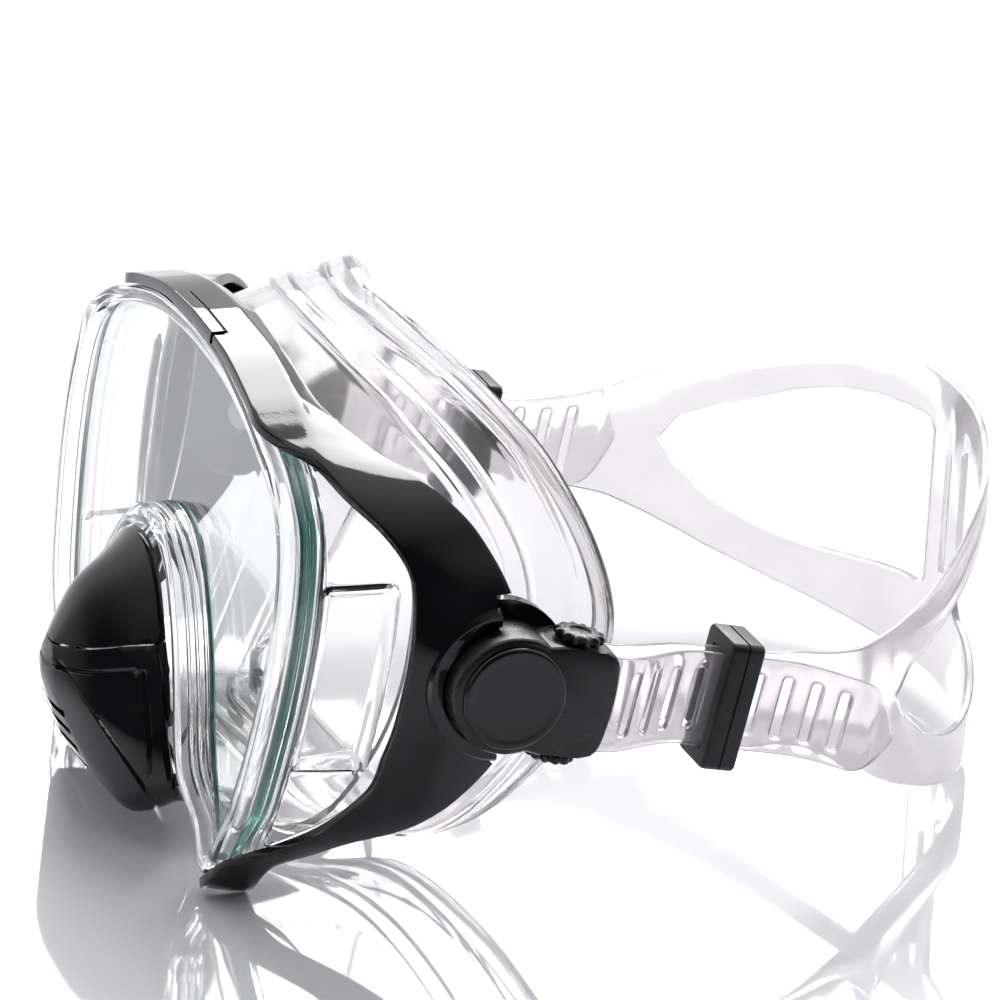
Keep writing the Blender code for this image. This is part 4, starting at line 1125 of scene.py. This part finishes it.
def opening_outline(lengths, path):
    """The teardrop between the two bands, as a closed outline on the flat strip."""
    upper, lower = [], []
    for length, (point, *_) in zip(lengths, path):
        if point.y < OPENING_START_Y or point.x < BAR_HALF_X or length < 100:
            continue
        edges = loop_edges(point.y)
        mid = (edges[1] + edges[2]) / 2 - point.z
        half = (edges[2] - edges[1]) / 2
        nose = ease(point.y, OPENING_START_Y, OPENING_START_Y + 3.5) ** 0.5
        heel = min(1.0, max(0.0, (point.x - BAR_HALF_X) / 3.0)) ** 0.35
        half = max(half * nose - (1.0 - heel) * 3.0, 0.3)
        upper.append((length, mid + half))
        lower.append((length, mid - half))
    return upper + lower[::-1]


def make_strap():
    path = strap_path()
    lengths = strap_lengths(path)
    rings = []
    for length, (*_, low, high) in zip(lengths, path):
        section_points = flat_section(low, high, STRAP_THICK / 2)
        rings.append([Vector((length, a, t)) for a, t in section_points])
    flat = object_in_flat("strap_flat", loft(rings, cap=True))
    cutters = bmesh.new()
    for outline in ladder_slots() + [opening_outline(lengths, path)]:
        slot_cutter(cutters, outline)
    end = lengths[-1] - BEYOND
    slot_cutter(cutters, rounded_rect(end - SLIT_HALF_X, end + BEYOND + 4, -8.7, 18.3, 0.8))
    bmesh.ops.recalc_face_normals(cutters, faces=cutters.faces)
    combine(flat, object_in_flat("strap_slots", cutters))
    settle(flat)
    bm = bmesh.new()
    bm.from_mesh(flat.data)
    bpy.data.objects.remove(flat, do_unlink=True)
    bmesh.ops.triangulate(bm, faces=[f for f in bm.faces if len(f.verts) > 4])
    for v in bm.verts:
        v.co = wrap_point(v.co, lengths, path)
    bmesh.ops.bisect_plane(
        bm, geom=bm.verts[:] + bm.edges[:] + bm.faces[:], dist=1e-4, clear_inner=True,
        plane_co=(0, 0, 0), plane_no=(1, 0, 0),
    )
    for v in bm.verts:
        if abs(v.co.x) < 2e-3:
            v.co.x = 0.0
    copy = bmesh.ops.duplicate(bm, geom=bm.verts[:] + bm.edges[:] + bm.faces[:])
    made = [g for g in copy["geom"] if isinstance(g, bmesh.types.BMVert)]
    for v in made:
        v.co.x = -v.co.x
    bmesh.ops.reverse_faces(bm, faces=[g for g in copy["geom"] if isinstance(g, bmesh.types.BMFace)])
    middle = [v for v in bm.verts if v.co.x == 0.0]
    bmesh.ops.remove_doubles(bm, verts=middle, dist=0.002)
    for v in bm.verts:
        v.co.z -= LOOP_TWIST * v.co.x * ease(v.co.y, 100.0, 132.0)
    piece("head_strap", bm, [STRAP_LOOK], "strap_set", ["strap"], "strap_silicone", 30.0)


def object_in_flat(name, bm):
    """An object whose mesh keeps the flat strip's own units."""
    bmesh.ops.recalc_face_normals(bm, faces=bm.faces)
    mesh = bpy.data.meshes.new(name)
    bm.to_mesh(mesh)
    bm.free()
    obj = bpy.data.objects.new(name, mesh)
    bpy.context.scene.collection.objects.link(obj)
    return obj


def wrap_point(flat, lengths, path):
    """Takes a point of the flat strip to its place on the strap's path."""
    low = segment_at(lengths, flat.x)
    t = (flat.x - lengths[low]) / (lengths[low + 1] - lengths[low])
    a, b = path[low], path[low + 1]
    point = a[0].lerp(b[0], t)
    across = a[1].lerp(b[1], t)
    out = a[2].lerp(b[2], t).normalized()
    return point + across * flat.y + out * flat.z


# ---------------------------------------------------------------- carried-over nodes
def dress_nodes():
    looks = {
        "purge_seat": SATIN, "purge_flap": VALVE_LOOK, "pivot_post_left": STEEL, "pivot_post_right": STEEL,
        "release_catch_left": SATIN, "release_catch_right": SATIN,
    }
    for name, look in looks.items():
        node = frame["nodes"][name]
        node.data.materials.clear()
        node.data.materials.append(look)


# ---------------------------------------------------------------- stage
VIEW_AZIMUTH = math.radians(69.32)
VIEW_PITCH = math.radians(21.02)
VIEW_ROLL = math.radians(2.61)
VIEW_PLACE = Vector((1040.4, -324.0, 479.7))
LENS_LENGTH = 209.6


def view_axes():
    look = Vector((
        -math.sin(VIEW_AZIMUTH) * math.cos(VIEW_PITCH),
        math.cos(VIEW_AZIMUTH) * math.cos(VIEW_PITCH),
        -math.sin(VIEW_PITCH),
    ))
    right = Vector((math.cos(VIEW_AZIMUTH), math.sin(VIEW_AZIMUTH), 0))
    up = right.cross(look)
    c, s = math.cos(VIEW_ROLL), math.sin(VIEW_ROLL)
    return right * c + up * s, up * c - right * s, look


def make_camera():
    data = bpy.data.cameras.new("camera")
    data.sensor_width = 36.0
    data.lens = LENS_LENGTH
    data.clip_end = 30.0
    camera = bpy.data.objects.new("camera", data)
    right, up, look = view_axes()
    turn = Matrix((right, up, -look)).transposed().to_4x4()
    camera.matrix_world = Matrix.Translation(ORIGIN + VIEW_PLACE * MM) @ turn
    bpy.context.scene.collection.objects.link(camera)
    bpy.context.scene.camera = camera


def area_light(name, place, target, size, power):
    """A softbox turned towards the object, seen only in what it lights."""
    data = bpy.data.lights.new(name, "AREA")
    data.shape = "RECTANGLE"
    data.size, data.size_y = size
    data.energy = power
    light = bpy.data.objects.new(name, data)
    light.visible_camera = False
    place = Vector(place)
    turn = (Vector(target) - place).to_track_quat("-Z", "Y").to_matrix().to_4x4()
    light.matrix_world = Matrix.Translation(place) @ turn
    bpy.context.scene.collection.objects.link(light)


def make_world():
    """A studio that is white behind the object and dim on the camera's side."""
    world = bpy.data.worlds.new("studio")
    world.use_nodes = True
    tree = world.node_tree
    background = tree.nodes["Background"]
    coords = tree.nodes.new("ShaderNodeTexCoord")
    dot = tree.nodes.new("ShaderNodeVectorMath")
    dot.operation = "DOT_PRODUCT"
    dot.inputs[1].default_value = (-0.86, 0.40, 0.30)
    ramp = tree.nodes.new("ShaderNodeValToRGB")
    shift = tree.nodes.new("ShaderNodeMapRange")
    shift.inputs["From Min"].default_value = -1.0
    shift.inputs["From Max"].default_value = 1.0
    elements = ramp.color_ramp.elements
    elements[0].position = 0.36
    elements[0].color = (0.035, 0.035, 0.04, 1.0)
    elements[1].position = 0.72
    elements[1].color = (1.0, 1.0, 1.0, 1.0)
    tree.links.new(coords.outputs["Generated"], dot.inputs[0])
    tree.links.new(dot.outputs["Value"], shift.inputs["Value"])
    tree.links.new(shift.outputs["Result"], ramp.inputs["Fac"])
    tree.links.new(ramp.outputs["Color"], background.inputs["Color"])
    background.inputs["Strength"].default_value = 1.05
    bpy.context.scene.world = world


def make_floor():
    """A plain pale table with a soft gloss."""
    bm = bmesh.new()
    bmesh.ops.create_grid(bm, x_segments=2, y_segments=2, size=4000.0)
    floor = object_from("floor", bm)
    floor.location.z = -ORIGIN.z
    made, tree, shader = shader_of("table_look")
    tint(tree, noise(tree, 0.8), shader.inputs["Base Color"], (0.74, 0.74, 0.78), (0.78, 0.78, 0.815))
    vary(tree, noise(tree, 3.0), shader.inputs["Roughness"], 0.03, 0.05)
    shader.inputs["IOR"].default_value = 1.75
    floor.data.materials.append(made)


def main():
    make_camera()
    make_bezel()
    make_glass()
    make_frame()
    make_clip()
    make_windows()
    make_skirt()
    make_nose()
    make_buckle()
    make_cap()
    make_roller()
    make_keeper()
    make_strap()
    dress_nodes()
    make_world()
    make_floor()
    area_light("far_softbox", (-1.16, 0.445, 1.08), (0, 0, 0.05), (1.16, 1.05), 34.0)
    area_light("front_strip", (0.5, -1.1, 0.6), (0, -0.05, 0.05), (0.12, 0.9), 1.2)
    bpy.context.scene.view_settings.view_transform = "Standard"


main()
